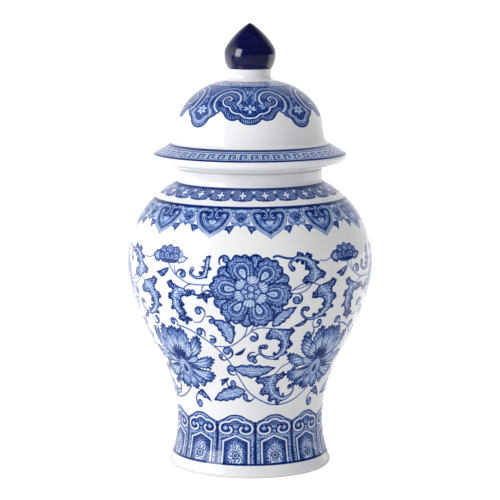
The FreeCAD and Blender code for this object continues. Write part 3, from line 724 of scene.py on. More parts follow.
PANELS = 3          # foot panels in a quarter turn
PANEL_FOOT = 10.5   # height of the foot band's lower edge
PANEL_TOP = 50.6
PANEL_SHIFT = -11.5     # mm round the foot from the front to the middle of a panel


def foot_panel(canvas, x, half):
    """One panel: a curled cloud head above a pointed arch with a ringed dot."""
    top = smooth([(0, PANEL_TOP), (4.2, 50.0), (8.0, 48.0), (10.4, 46.6), (13.0, 45.6), (half, 43.4)])
    border = [(0, 0.98), (1.1, 0.95), (1.35, 0.3), (2.0, 0.3), (2.3, 0.93), (3.6, 0.82)]
    whole = [*top, (half, PANEL_FOOT), (0, PANEL_FOOT)]
    fill(canvas, shifted(mirrored(whole), x), border, stipple(1.5, 0.45))

    def strips(u, v, depth, tone):
        aside = np.abs(u - x)
        beside = np.abs(aside - 13.3) / 1.9 + fade(v, 37, 3)
        above = np.abs(v - 34.6 + 0.18 * aside) / 2.2 + fade(aside, 14, 2)
        pale = np.clip(1.15 - np.minimum(beside, above), 0, 1)
        dotted = np.clip(tone - pale * (0.2 + 0.85 * speckle(u, v, 1.3)), 0.08, 1)
        return np.where((v < 42) & (depth > 1.0), dotted, tone)

    lower = [(0, 42), (half, 42), (half, PANEL_FOOT), (0, PANEL_FOOT)]
    fill(canvas, shifted(mirrored(lower), x), [(0, 0.95), (1, 0.93)], strips)
    cloud_band = [(0, 46.8), (2.6, 46.2), (5.2, 44.6), (8.8, 44.3), (12.2, 42.4), (13.6, 39.0), (12.0, 35.9),
                  (8.2, 34.9), (4.6, 35.9), (3.4, 38.4), (4.9, 40.2)]
    twins(canvas, x, cloud_band, (1.35, 0.97), (0.82, 0.04))
    for side in (1, -1):
        blossom = [(0, 0.7), (0.8, 0.35), (2, 0.3)]
        petal(canvas, (x + side * 8.6, 39.4), 90, 2.0, 2.2, blossom, stipple(1.2, 0.8), 0.1, 4, 0.15)
        petal(canvas, (x + side * 4.3, 39.4), 90, 0.95, 0.95, [(0, 0.1), (1, 0.05)])
    spray(canvas, (x, 38.4), (58, 90, 122), 2.6, 1.7, 0.65, [(0, 0.4), (0.5, 0.25)], swell=0.2)
    petal(canvas, (x, 37.2), 90, 1.1, 1.5, [(0, 0.35), (1, 0.3)], stipple(1.1, 0.8), 0.1)
    arch = [(10.5, PANEL_FOOT + 1.5), (10.5, 28.8), (0, 33.4)]
    twins(canvas, x, arch, (1.3, 0.97), (0.78, 0.06), fine=1)
    foot_arch(canvas, (x, 17.9))


def foot_arch(canvas, centre):
    """The arch's filling: dots that thin out towards a ringed dot."""
    def bloom(u, v, depth, tone):
        up = v - centre[1]
        reach = np.hypot((u - centre[0]) / 8.0, up / np.where(up > 0, 12.8, 13.0))
        glow = np.clip(1.62 - 1.25 * reach, 0, 1)
        paper = fade(glow, 0.62, 0.2)
        dark_dots = 0.04 + 0.78 * speckle(u + 31, v, 1.6)
        pale_dots = 0.95 - glow * speckle(u, v, 1.3) * 1.1
        return np.clip(paper * dark_dots + (1 - paper) * pale_dots, 0.05, 1)

    inside = [(0, 32.2), (9.6, 28.2), (9.6, PANEL_FOOT), (0, PANEL_FOOT)]
    fill(canvas, shifted(mirrored(inside), centre[0]), [(0, 0.95), (1, 0.9)], bloom)
    ring = [(0, 0.97), (0.75, 0.95), (1.0, 0.1), (1.55, 0.1), (1.8, 0.97), (2.4, 0.95), (2.7, 0.3)]
    petal(canvas, centre, 0, 3.0, 3.0, ring)


def foot_band(canvas):
    """Twelve panels round the foot, three in a quarter turn."""
    half = canvas.period / PANELS / 2
    middles = [PANEL_SHIFT + 2 * half * k for k in range(PANELS)]
    for x in middles:
        foot_panel(canvas, x, half)
    for x in middles:
        line(canvas, [(x + half, PANEL_FOOT + 1), (x + half, 44.2)], 0.7, 0.99, fine=1)
    stripe(canvas, PANEL_FOOT + 0.5, 0.75, 0.99)


# ---------------------------------------------------------------- the shoulder's hearts and the neck's net

HEARTS = 3          # in a quarter turn
HEART_TURN = 10.2   # degrees from the front to the middle of a heart
HEART_LINE = 216.4  # height of the line that they hang from
CROSSES = 6         # on the neck, in a quarter turn
NECK_LOW, NECK_MIDDLE, NECK_HIGH = 220.7, 224.7, 229.3


def heart(canvas, x):
    """A hanging heart: nested outlines, two curls and a small pendant flower."""
    half = smooth([(0, 194.5), (3.4, 197.0), (8.2, 199.9), (12.2, 203.4), (14.8, 207.6), (16.2, 211.4),
                   (15.4, 214.4), (12.6, HEART_LINE)])
    rings = [(0, 0.9), (0.45, 0.85), (0.62, 0.12), (1.25, 0.1), (1.45, 0.8), (1.75, 0.8), (1.95, 0.22),
             (2.3, 0.22), (2.5, 0.97), (4.7, 0.93), (4.9, 0.3), (5.3, 0.3), (5.5, 0.85), (6.3, 0.8),
             (6.5, 0.4), (6.8, 0.45), (7.0, 0.8)]
    fill(canvas, shifted(mirrored([*half, (0, HEART_LINE)]), x), rings, stipple(1.7, 0.25))
    curl_edge = [(6.6, 212.6), (5.4, 214.9), (2.6, 214.6), (1.2, 211.9), (2.6, 209.2), (5.2, 209.4)]
    curl_light = [(6.2, 213.8), (4.2, 214.6), (2.1, 213.4), (1.5, 211.2), (2.8, 209.3), (4.9, 209.6)]
    twins(canvas, x, curl_edge, (1.0, 0.95))
    twins(canvas, x, curl_light, (0.42, 0.22))
    for side in (1, -1):
        petal(canvas, (x + side * 5.2, 211.6), 90, 1.5, 1.4, [(0, 0.98), (2, 0.9)])
        tuft = [(0, 0.5), (1, 0.25)]
        petal(canvas, (x + side * 9.4, 210.6), 60, 1.4, 2.0, tuft, stipple(1.2, 0.6), 0.2, 3, 0.2)
    for turn, far in ((270, 2.2), (232, 2.0), (308, 2.0), (200, 1.9), (340, 1.9)):
        spray(canvas, (x, 207.3), [turn], far, 1.6, 0.8, [(0, 0.45), (0.5, 0.12)], swell=0.3)
    for points, half_width, tone in (
        ([(2.0, 203.6), (4.6, 204.4), (6.4, 207.0)], 0.45, 0.25),
        ([(1.2, 200.2), (4.6, 202.4), (7.6, 205.0)], 0.3, 0.45),
    ):
        twins(canvas, x, points, (half_width, tone))


def cartouche(canvas, x):
    """The pale scroll and dark lotus that hang between two hearts, with a leaf on each side."""
    leaf_edge = [
        (5.0, 203.6), (8.0, 204.0), (11.0, 203.4), (12.9, 200.9), (10.4, 200.3), (8.7, 197.8), (6.9, 200.4),
    ]
    for side in (1, -1):
        outline = shifted([(side * dx, y) for dx, y in leaf_edge], x)
        fill(canvas, outline, [(0, 0.97), (0.6, 0.9), (1.6, 0.72)], stipple(1.4, 0.35))
    half = smooth([(0, 202.4), (2.0, 204.2), (5.2, 203.6), (7.4, 205.2), (7.6, 207.8), (6.2, 209.6),
                   (8.6, 211.6), (9.4, 214.2), (8.4, HEART_LINE)])
    border = [(0, 0.8), (0.4, 0.7), (0.6, 0.16), (1.2, 0.14), (3, 0.3)]
    fill(canvas, shifted(mirrored([*half, (0, HEART_LINE)]), x), border)
    for points, half_width, tone in (
        ([(8.0, 215.4), (5.4, 215.0), (3.4, 215.4), (0, 215.8)], 0.5, 0.7),
        ([(7.8, 212.2), (6.0, 213.6), (4.4, 212.2), (5.4, 210.6)], 0.42, 0.78),
        ([(6.9, 206.4), (4.8, 205.0), (2.4, 205.6), (0, 203.6)], 0.42, 0.72),
    ):
        twins(canvas, x, points, (half_width, tone))
    lotus = [(0, 0.95), (0.45, 0.85), (0.9, 0.45), (2, 0.4)]
    for turns, far, length, wide in (
        ([90], 2.3, 2.2, 1.6), ((45, 135), 2.6, 2.2, 1.3), ((10, 170), 3.0, 2.1, 1.1),
    ):
        spray(canvas, (x, 208.8), turns, far, length, wide, lotus, swell=0.35)
    petal(canvas, (x, 207.6), 270, 1.5, 2.6, [(0, 0.95), (0.6, 0.8), (1.5, 0.45)])


def heart_start(canvas):
    """How far round from the front the first heart hangs, in mm."""
    return HEART_TURN / 360 * QUARTERS * canvas.period


def heart_band(canvas):
    """Hearts and cartouches hanging from a line at the foot of the neck."""
    span = canvas.period / HEARTS
    for k in range(HEARTS):
        cartouche(canvas, heart_start(canvas) + span * (k + 0.5))
    for k in range(HEARTS):
        heart(canvas, heart_start(canvas) + span * k)
    stripe(canvas, HEART_LINE, 0.85, 0.97)


def neck_band(canvas):
    """A net of slanting lines with white crosses and small white diamonds."""
    span = canvas.period / CROSSES
    start = heart_start(canvas)
    middle = NECK_MIDDLE

    def net(u, v):
        across = (u - start + span / 2) % span - span / 2
        aside = np.abs(across)
        tone = np.full(u.shape, 0.86)
        for slant in (0.52, -0.52):
            phase = (v - middle - slant * across) * 2 * np.pi / 1.45
            clear = np.clip(aside / 2.6 - 0.4, 0, 1) * np.clip((span / 2 - aside) / 1.6, 0.25, 1)
            tone = tone - 0.42 * clear * wave(phase, 1.5, -0.45)
        low = NECK_LOW + 1.15 * (1 - np.abs(np.cos(np.pi * across / span)) ** 0.7)
        tone = np.where(v < low, 0, tone)
        return np.where(np.abs(v - low - 0.35) < 0.35, 0.93, tone)

    wash(canvas, NECK_LOW - 0.2, NECK_HIGH, net)
    white = [(0, 0.08), (1, 0.05)]
    for k in range(CROSSES):
        x = start + span * k
        spray(canvas, (x, middle), (0, 90, 180, 270), 1.3, 1.15, 0.75, [(0, 0.1), (1, 0.04)])
        petal(canvas, (x, middle), 0, 0.95, 0.9, [(0, 0.06), (1, 0.04)])
        for across, up in ((2.1, 2.0), (2.1, -2.0), (-2.1, 2.0), (-2.1, -2.0)):
            petal(canvas, (x + across, middle + up), 0, 0.5, 0.45, [(0, 0.25), (1, 0.2)])
        for points, ramp in (
            ([(-1.5, 2.1), (0, 3.3), (1.5, 2.1), (0, 0.9)], white),
            ([(-1.6, -3.3), (0, -1.4), (1.6, -3.3)], white),
            ([(-1.3, -0.2), (0, 0.6), (1.3, -0.2), (0, -1.0)], [(0, 0.98), (1, 0.97)]),
        ):
            fill(canvas, [(x + span / 2 + dx, middle + dy) for dx, dy in points], ramp)
    stripe(canvas, NECK_HIGH - 0.3, 0.75, 0.97)


# each of the jar's bands: its lowest and highest height, and the radius that it is drawn for, in mm
JAR_BANDS = [
    (0, 52, 60.0, foot_band), (52, 193.5, 90.0, scroll_band),
    (193.5, 219, 90.0, heart_band), (219, 232, 58.2, neck_band),
]


def jar_print(heights):
    """The jar's whole print, one tone for each height and each column of a quarter turn."""
    tone = np.zeros((len(heights), COLUMNS // QUARTERS))
    for low, high, radius, draw in JAR_BANDS:
        rows = (heights >= low) & (heights < high)
        canvas = Canvas(radius, COLUMNS // QUARTERS, heights[rows])
        draw(canvas)
        tone[rows] = canvas.tone
    return tone


# ---------------------------------------------------------------- the lid's bands
#
# On the lid v is the way up its outline, in mm from the flange's edge.

LID_SPLIT = 30      # between the flange's print and the dome's
LID_PRINT_TOP = 88.8
COLLAR_BAND = 77.2  # where the light band round the collar starts
COLLAR_WISPS = 14   # in a quarter turn, as the keys of the fret
FRET_LOW, FRET_HIGH = 2.7, 13.6
FRET_KEYS = 13
LINE_WASH_TOP = 15.2
DOME_LINE = 16.4    # the broad dark line at the foot of the dome
HATCH_FADE = 60     # above which the dome's hatching grows clear
LID_EDGE = [
    (0, 37.9), (3.6, 38.6), (6.2, 40.6), (7.3, 42.6), (9.6, 41.3), (12.2, 41.3), (15.2, 42.8), (17.6, 46.6),
    (19.6, 48.9), (21.8, 48.0), (23.4, 44.8), (26.9, 42.4), (28.5, 38.9), (31.6, 35.7), (35.343, 34.6),
]   # the lobed lower edge of the dome's print, over half a head and half a pendant
LID_EDGE_CORNERS = (3, 8, 12)   # which of its points stay sharp


def cloud_head(canvas, x):
    """The large curled cloud head on the lid."""
    inner = [(0, 43.4), (3.8, 44.2), (6.4, 46.8), (10.2, 47.6), (12.9, 49.8), (14.3, 52.6), (18.2, 54.2),
             (20.6, 58.4), (19.2, 62.2), (16.0, 63.2), (13.9, 61.0), (15.4, 58.8)]
    big = [(9.0, 55.8), (7.1, 59.4), (7.7, 64.4), (11.6, 68.6), (18.2, 69.4), (24.4, 65.2), (26.8, 58.6),
           (25.6, 52.4), (22.6, 48.6)]
    rim = [(4.4, 59.4), (4.0, 64.4), (6.6, 70.4), (13.6, 74.0), (23.4, 72.2), (30.2, 66.0), (31.9, 58.0),
           (29.8, 51.0), (26.9, 46.4)]
    between = [(10.6, 53.6), (13.2, 56.4), (17.2, 57.2), (22.6, 61.0), (20.8, 65.6), (15.8, 66.4),
               (10.8, 63.0)]
    for side in (1, -1):
        for k in range(9):
            turn = 90 + side * (60 - 38 * k)
            start = on_ray((x + side * 17.2, 59.8), turn, 2.6 + 0.1 * k)
            line(canvas, [start, on_ray(start, turn + 12 * side, 1.7)], 0.3, 0.42)
        petal(canvas, (x + side * 16.4, 60.4), 0, 1.5, 1.5, [(0, 0.25), (0.7, 0.4), (1.5, 0.9)])
    for side in (1, -1):
        path = smooth([(x + side * dx, y) for dx, y in between])

        def feathers(u, v, depth, tone, side=side):
            angle = np.arctan2(v - 59.5, (u - x) * side - 16.5)
            return np.clip(0.9 - 0.75 * wave(30 * angle + 0.8 * depth, 1.6, -0.35), 0, 1)

        canvas.paint(bounds(path, 3), stroke_distance(path, 2.2), flat(0.9), feathers)
    twins(canvas, x, rim, (1.6, 0.98), (1.2, 0.3), (0.8, 0.95), (0.42, 0.12))
    twins(canvas, x, big, (1.95, 0.98), (1.55, 0.35), (1.15, 0.98), (0.66, 0.05))
    twins(canvas, x, inner, (1.4, 0.98), (0.6, 0.07))
    # flower and leaves in the head's dark middle
    spray(canvas, (x, 50.8), (90, 35, 145, 0, 180), 2.4, 2.0, 0.8, [(0, 0.5), (0.5, 0.08)], swell=0.3)
    petal(canvas, (x, 49.0), 270, 1.8, 1.0, [(0, 0.4), (0.5, 0.1)], swell=0.3)
    for side in (1, -1):
        for turn, far in ((0, 1.6), (60, 1.6), (300, 1.6), (120, 1.2)):
            spray(canvas, (x + side * 7.4, 53.2), [turn], far, 1.5, 0.7, [(0, 0.6), (0.5, 0.25)], swell=0.3)
        line(canvas, [(x + side * 1.8, 56.6), (x + side * 2.8, 60.0), (x + side * 1.6, 63.6)], 0.4, 0.4)
    # tuft above the head
    for dx, low, high, tone in (
        (0, 64, 71, 0.35), (2.2, 66, 72, 0.3), (-2.2, 66, 72, 0.3),
        (4.4, 71, 75.5, 0.35), (-4.4, 71, 75.5, 0.35),
    ):
        ramp = [(0, 0.7), (0.5, tone), (1.2, tone)]
        petal(canvas, (x + dx, (low + high) / 2), 90, (high - low) / 2, 1.0, ramp, swell=0.3)


def lid_pendant(canvas, x):
    """The small scalloped pendant between two cloud heads."""
    edge = [(0, 39.4), (3.0, 40.4), (5.0, 43.4), (7.0, 45.0), (8.0, 46.6), (7.0, 49.6)]
    twins(canvas, x, edge, (1.5, 0.97), (1.05, 0.1), (0.35, 0.7))
    spray(canvas, (x, 49.6), range(30, 390, 60), 2.3, 1.9, 1.1, [(0, 0.6), (0.5, 0.12)], swell=0.2)
    petal(canvas, (x, 49.6), 0, 0.9, 0.9, [(0, 0.5), (1, 0.6)])
    small = [(3.4, 55.4, 70), (-3.4, 55.4, 110), (0, 57.2, 90), (2.0, 62.2, 80), (-2.0, 62.2, 100)]
    for dx, y, turn in small:
        petal(canvas, (x + dx, y), turn, 1.9, 0.8, [(0, 0.65), (0.5, 0.3)], swell=0.3)


def lid_ground(canvas):
    """The dark ground: a hatched border along the lobed edge, slanting pale hatching above."""
    half = smooth(LID_EDGE, corners=LID_EDGE_CORNERS)
    edge = np.vstack([half, half[::-1] * (-1, 1) + (canvas.period, 0)])
    edge = np.vstack([shifted(edge, k * canvas.period) for k in (-1, 0, 1)])
    outline = np.vstack([edge, [(edge[-1, 0], LID_PRINT_TOP)], [(edge[0, 0], LID_PRINT_TOP)]])
    rim = stroke_distance(edge, 0)

    def ground(u, v, depth, tone):
        off = rim(u, v)
        border = np.where(off < 1.0, 0.98, 0.88 - 0.6 * wave(2 * np.pi * u / 1.179 + 0.5 * v, 1.7, -0.2))
        slope = wave(2 * np.pi * (u / 2.357 + v * 0.6), 1.7, -0.5)
        above = 0.93 - 0.45 * slope * np.clip((v - HATCH_FADE) / 6, 0.25, 1) - 0.25 * speckle(u, v, 1.8)
        return np.where(off < 3.7, border, above)

    box = (0, canvas.period - canvas.step, LID_SPLIT, LID_PRINT_TOP)
    canvas.paint(box, outline_distance(outline), [(0, 0.95), (1, 0.9)], ground)


def collar_scrolls(canvas):
    """A light band of pale wisps round the lid's collar."""
    def ground(u, v):
        return 0.6 + 0.3 * np.cos(2 * np.pi * (u / 1.683 + v * 0.3))

    wash(canvas, COLLAR_BAND, LID_PRINT_TOP, ground)
    for k in range(COLLAR_WISPS):
        x = canvas.period * k / COLLAR_WISPS
        lean = 2.0 if k % 2 else -2.0
        wisp = [(-1, 79.4), (0, 79.0), (1, 80.6), (1.2, 83.0), (0, 85.2), (-1.1, 86.6)]
        for half_width, tone in ((1.0, 0.9), (0.65, 0.12)):
            line(canvas, [(x + lean * across, y) for across, y in wisp], half_width, tone)
        petal(canvas, (x - 0.6 * lean, 82.4), 70, 1.9, 1.1, [(0, 0.8), (0.4, 0.2), (1, 0.15)], swell=0.2)
    stripe(canvas, COLLAR_BAND, 0.7, 0.97)
    stripe(canvas, COLLAR_BAND + 1.3, 0.25, 0.2)
    stripe(canvas, LID_PRINT_TOP - 0.6, 0.6, 0.92)


def fret_band(canvas):
    """A fret of square hooks in white line on a washed ground, between two lines."""
    span = canvas.period / FRET_KEYS
    tall = FRET_HIGH - FRET_LOW
    wash(canvas, FRET_LOW, FRET_HIGH, lambda u, v: 0.66 + 0.12 * np.cos(2 * np.pi * (u / 1.4 + v / 1.9)))
    hook = [(0.0, 0.86), (0.82, 0.86), (0.82, 0.3), (0.36, 0.3), (0.36, 0.6), (0.58, 0.6)]
    stem = [hook[0], (0.0, 0.24)]
    for k in range(FRET_KEYS):
        for half_width, tone in ((0.85, 0.85), (0.5, 0.04)):
            for path in (hook, stem):
                points = [((k + a) * span, FRET_LOW + b * tall) for a, b in path]
                line(canvas, points, half_width, tone, fine=1)
    for v, half_width, tone in ((FRET_LOW, 0.95, 0.98), (FRET_HIGH, 0.3, 0.8), (FRET_LOW + 1.4, 0.3, 0.12)):
        stripe(canvas, v, half_width, tone)


def flange_band(canvas):
    """The fret on the flange, with the broad dark line at the foot of the dome above it."""
    fret_band(canvas)
    wash(canvas, FRET_HIGH + 0.3, LINE_WASH_TOP, lambda u, v: np.full(u.shape, 0.16))
    stripe(canvas, DOME_LINE, 1.5, 0.93)


def dome_band(canvas):
    """The cloud heads and pendants that hang from the collar."""
    lid_ground(canvas)
    cloud_head(canvas, 0)
    lid_pendant(canvas, canvas.period / 2)
    collar_scrolls(canvas)


def lid_print(ways_up):
    """The lid's print, by the way up its outline from the flange's edge."""
    tone = np.zeros((len(ways_up), COLUMNS // QUARTERS))
    high = ways_up > LID_SPLIT
    for rows, radius, draw in ((high, 45.0, dome_band), (~high, 70.0, flange_band)):
        canvas = Canvas(radius, COLUMNS // QUARTERS, ways_up[rows])
        draw(canvas)
        tone[rows] = canvas.tone
    return tone


# ---------------------------------------------------------------- skins turned from the CAD pieces

SEAM_WIDTH = 1e-3       # mm, how near the seam's half plane a point has to be
SHARP = -0.9            # cosine between the two ways from a corner, above which it is rounded
CORNER_SHARE = 0.4      # of a straight stretch that a rounded corner may use up
ARC_POINTS = 5
LONG_RATIO = 2.5        # a stretch so many times longer than the next keeps its own heading


def seam_path(node, start, toward):
    """The node's outline on its seam, the half plane y = 0, x > 0, as (radius, height) in mm.

    The walk starts at the point nearest to start and sets off toward the other one.
    """
    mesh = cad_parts[node].data
    spots = np.array([tuple(vertex.co) for vertex in mesh.vertices]) / MM
    on_seam = (np.abs(spots[:, 1]) < SEAM_WIDTH) & (spots[:, 0] > -SEAM_WIDTH)
    near = {}
    for edge in mesh.edges:
        if on_seam[edge.vertices[0]] and on_seam[edge.vertices[1]]:
            p, q = [(round(float(spots[i, 0]), 3), round(float(spots[i, 2]), 3)) for i in edge.vertices]
            if p != q:
                near.setdefault(p, set()).add(q)
                near.setdefault(q, set()).add(p)
    here = min(near, key=lambda p: math.dist(p, start))
    path = [here]
    while True:
        ahead = [p for p in near[here] if p not in path]
        if not ahead:
            return np.array(path)
        here = min(ahead, key=lambda p: math.dist(p, toward))
        path.append(here)


def soften(path, radius):
    """Rounds the sharp corners of a path, as glaze does, with short arcs."""
    out = [path[0]]
    for before, corner, after in zip(path, path[1:], path[2:]):
        back, ahead = before - corner, after - corner
        near, far = np.hypot(*back), np.hypot(*ahead)
        if back @ ahead > SHARP * near * far:
            reach = min(radius, CORNER_SHARE * near, CORNER_SHARE * far)
            first = corner + back / near * reach
            last = corner + ahead / far * reach
            for t in np.linspace(0, 1, ARC_POINTS):
                out.append((1 - t) ** 2 * first + 2 * t * (1 - t) * corner + t**2 * last)
        else:
            out.append(corner)
    return np.array(out + [path[-1]])


def headings(ways, long):
    """The unit way in which a smooth curve leaves each point of a path."""
    out = [ways[0]]
    for way_in, way_out, before, after in zip(ways, ways[1:], long, long[1:]):
        if before > LONG_RATIO * after:
            out.append(way_in)
        elif after > LONG_RATIO * before:
            out.append(way_out)
        else:
            blend = way_in * after + way_out * before
            out.append(blend / np.hypot(*blend))
    return [*out, ways[-1]]


def spaced(path, pitch):
    """Points on a smooth curve through the path, as close together as pitch(radius, height) says."""
    steps = np.diff(path, axis=0)
    long = np.hypot(*steps.T)
    heading = headings(steps / long[:, None], long)
    out = []
    for i, length in enumerate(long):
        p, q = path[i], path[i + 1]
        count = max(1, math.ceil(length / pitch(*(p + q) / 2)))
        t = np.arange(count)[:, None] / count
        out.append(
            (2 * t**3 - 3 * t**2 + 1) * p + (t**3 - 2 * t**2 + t) * heading[i] * length
            + (3 * t**2 - 2 * t**3) * q + (t**3 - t**2) * heading[i + 1] * length
        )
    return np.vstack(out + [path[-1:]])


def plainly(radius, height):
    """The pitch of a stretch that has no print."""
    return PLAIN_PITCH


def put(name, data):
    """A new object in the scene."""
    thing = bpy.data.objects.new(name, data)
    bpy.context.scene.collection.objects.link(thing)
    return thing


def turned_skin(name, rows, columns, tone=None, bare=None, share=None, hub=(False, False)):
    """A closed skin: rows of (radius, height) in mm, turned round the axis.

    tone is the print, rows by a quarter of the columns. bare, one value a row, is 1 where there is
    no glaze. share gives each row's place up the texture. hub closes the first or last row with a fan.
    """
    count = len(rows)
    angle = 2 * np.pi * np.arange(columns) / columns
    spots = np.empty((count, columns, 3))
    spots[..., 0] = rows[:, :1] * np.sin(angle)
    spots[..., 1] = -rows[:, :1] * np.cos(angle)
    spots[..., 2] = rows[:, 1:]
    spots = spots.reshape(-1, 3)
    ring, step = np.meshgrid(np.arange(count - 1), np.arange(columns), indexing="ij")
    here = ring * columns + step
    beside = ring * columns + (step + 1) % columns
    faces = np.stack([here, beside, beside + columns, here + columns], -1).reshape(-1, 4)
    # each quarter turn lies on the same stretch of the texture
    share = np.linspace(0, 1, count) if share is None else share
    quarter = columns // QUARTERS
    left = (step % quarter) / quarter
    right = left + 1 / quarter
    low, high = share[ring], share[ring + 1]
    sheet = np.stack([left, low, right, low, right, high, left, high], -1).reshape(-1, 2)
    fans = np.empty((0, 3), int)
    for wanted, row, order in zip(hub, (0, count - 1), (-1, 1)):
        if wanted:
            start = row * columns + np.arange(columns)
            after = row * columns + (np.arange(columns) + 1) % columns
            fan = np.stack([start, after, np.full(columns, len(spots))], -1)
            fans = np.vstack([fans, fan[:, ::order]])
            spots = np.vstack([spots, [[0, 0, rows[row, 1]]]])
    sheet = np.vstack([sheet, np.tile((0.01, 0.0), (fans.size, 1))])
    fields = {}
    for label, values in (("print", tone), ("bare", bare)):
        field = np.zeros((count, columns))
        if values is not None:
            field[:] = np.tile(values, QUARTERS) if values.ndim == 2 else values[:, None]
        fields[label] = np.concatenate([field.reshape(-1), np.zeros(len(spots) - count * columns)])
    return put(name, skin_mesh(name, spots, faces, fans, sheet, fields))


def skin_mesh(name, spots, faces, fans, sheet, fields):
    """A smooth mesh of four-sided faces and fans, with its places on the texture and its fields."""
    mesh = bpy.data.meshes.new(name)
    corners = np.concatenate([faces.reshape(-1), fans.reshape(-1)])
    mesh.vertices.add(len(spots))
    mesh.vertices.foreach_set("co", (spots * MM).reshape(-1))
    mesh.loops.add(len(corners))
    mesh.loops.foreach_set("vertex_index", corners)
    mesh.polygons.add(len(faces) + len(fans))
    starts = np.concatenate([np.arange(len(faces)) * 4, len(faces) * 4 + np.arange(len(fans)) * 3])
    mesh.polygons.foreach_set("loop_start", starts)
    mesh.update(calc_edges=True)
    mesh.uv_layers.new(name="OFBake").data.foreach_set("uv", sheet.reshape(-1))
    for label, field in fields.items():
        mesh.attributes.new(label, "FLOAT", "POINT").data.foreach_set("value", field)
    mesh.shade_smooth()
    mesh.validate()
    return mesh


# ---------------------------------------------------------------- the pieces

EDGE_ROUND = 0.35       # mm, how round glaze makes a sharp edge
BARE_LIMIT = 0.25       # mm, how far bare clay reaches from a seat
PLAIN_SHARE = 0.12      # how much of the texture a plain stretch takes, against a printed one
FOOT_RECESS = 6         # mm up from the table, where the walk round the jar starts, in its foot
JAR_MARGIN = 8          # mm, the print's distance from the jar's foot and mouth
SEAT_RADIUS = 59        # mm, where the walk round the lid starts
COLLAR_RADIUS = 15      # mm, inside which the lid has no print
SPIGOT_END = 1          # mm above the bud's lowest point, where the walk down its outside ends
BUD_HOLE = 0.05         # mm, the radius at which a fan closes the bud


def node_box(node):
    """The lowest and the highest corner of a node's box, in mm."""
    return [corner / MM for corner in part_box(node)]


def texture_share(rows, printed):
    """Places up the texture: printed rows take most of it, the plain ones the rest."""
    step = np.hypot(*np.diff(rows, axis=0).T) * np.where(printed[1:], 1.0, PLAIN_SHARE)
    place = np.concatenate([[0], np.cumsum(step)])
    return place / place[-1]


def make_jar():
    """The jar: glazed inside and out, bare on the foot ring and on the seat of the mouth."""
    low, high = node_box("jar_body")
    path = seam_path("jar_body", (high.x / 2, low.z + FOOT_RECESS), (high.x / 2, low.z))
    path = soften(path, EDGE_ROUND)

    def pitch(radius, height):
        return PRINT_PITCH if low.z + JAR_MARGIN < height < high.z - JAR_MARGIN else PLAIN_PITCH

    mouth = path[:, 1].argmax()
    outside = spaced(path[: mouth + 1], pitch)
    inside = spaced(path[mouth:], plainly)
    rows = np.vstack([outside, inside[1:]])
    printed = (np.arange(len(rows)) < len(outside)) & (rows[:, 1] > low.z + JAR_MARGIN)
    tone = np.zeros((len(rows), COLUMNS // QUARTERS))
    tone[printed] = jar_print(rows[printed, 1])
    bare = (rows[:, 1] < low.z + BARE_LIMIT) | (rows[:, 1] > high.z - BARE_LIMIT)
    share = texture_share(rows, printed)
    piece = turned_skin("jar_glaze", rows, COLUMNS, tone, bare.astype(float), share, hub=(True, True))
    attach(piece, "jar")
    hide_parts("jar_body")
    return piece


def make_lid():
    """The lid: a glazed shell whose seat, inside the flange, is left bare."""
    low, high = node_box("lid_shell")
    path = seam_path("lid_shell", (SEAT_RADIUS, low.z), (high.x, low.z))
    path = soften(np.vstack([path, path[:1]]), EDGE_ROUND)
    rim = path[:, 0].argmax()
    crown = path[:, 1].argmax()

    def pitch(radius, height):
        return PRINT_PITCH if radius > COLLAR_RADIUS else PLAIN_PITCH

    under = spaced(path[: rim + 1], plainly)
    outside = spaced(path[rim: crown + 1], pitch)
    inside = spaced(path[crown:], plainly)
    rows = np.vstack([under, outside[1:], inside[1:]])
    printed = np.zeros(len(rows), bool)
    printed[len(under) - 1: len(under) - 1 + len(outside)] = True
    tone = np.zeros((len(rows), COLUMNS // QUARTERS))
    tone[printed] = lid_print(lengths(rows[printed]))
    bare = rows[:, 1] < low.z + BARE_LIMIT
    share = texture_share(rows, printed)
    piece = turned_skin("lid_glaze", rows, COLUMNS, tone, bare.astype(float), share)
    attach(piece, "lid")
    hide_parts("lid_shell")
    return piece


def make_bud():
    """The finial bud under its thick cobalt glaze."""
    low, high = node_box("finial_bud")
    path = soften(seam_path("finial_bud", (0, high.z), (5, high.z)), EDGE_ROUND)
    end = np.nonzero(path[:, 1] < low.z + SPIGOT_END)[0][0]
    rows = spaced(path[: end + 2], lambda radius, height: BUD_PITCH)
    rows = rows[rows[:, 0] > BUD_HOLE]
    piece = turned_skin("bud_glaze", rows, PLAIN_COLUMNS, hub=(True, True))
    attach(piece, "lid")
    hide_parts("finial_bud")
    return piece


def make_ring():
    """The locating ring under the lid, left unglazed."""
    low, high = node_box("lid_locating_ring")
    path = seam_path("lid_locating_ring", (high.x, high.z), (high.x, low.z))
    rows = spaced(soften(np.vstack([path, path[:1]]), EDGE_ROUND), plainly)
    piece = turned_skin("ring_biscuit", rows, PLAIN_COLUMNS, bare=np.ones(len(rows)))
    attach(piece, "lid")
    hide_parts("lid_locating_ring")
    return piece


# ---------------------------------------------------------------- materials

WHITE = (255, 255, 255)     # colours are as a screen shows them, from 0 to 255
PORCELAIN = (238, 239, 240)
BISCUIT = (226, 221, 211)
SPECK = (150, 140, 128)
COBALT = [
    (0.0, PORCELAIN), (0.2, (176, 198, 234)), (0.4, (124, 152, 204)), (0.62, (72, 102, 168)),
    (0.86, (22, 50, 122)), (1.0, (4, 20, 88)),
]


def light(colour):
    """A screen colour as light, with full cover."""
    shares = [value / 255 for value in colour]
    return (*[s / 12.92 if s <= 0.04045 else ((s + 0.055) / 1.055) ** 2.4 for s in shares], 1)


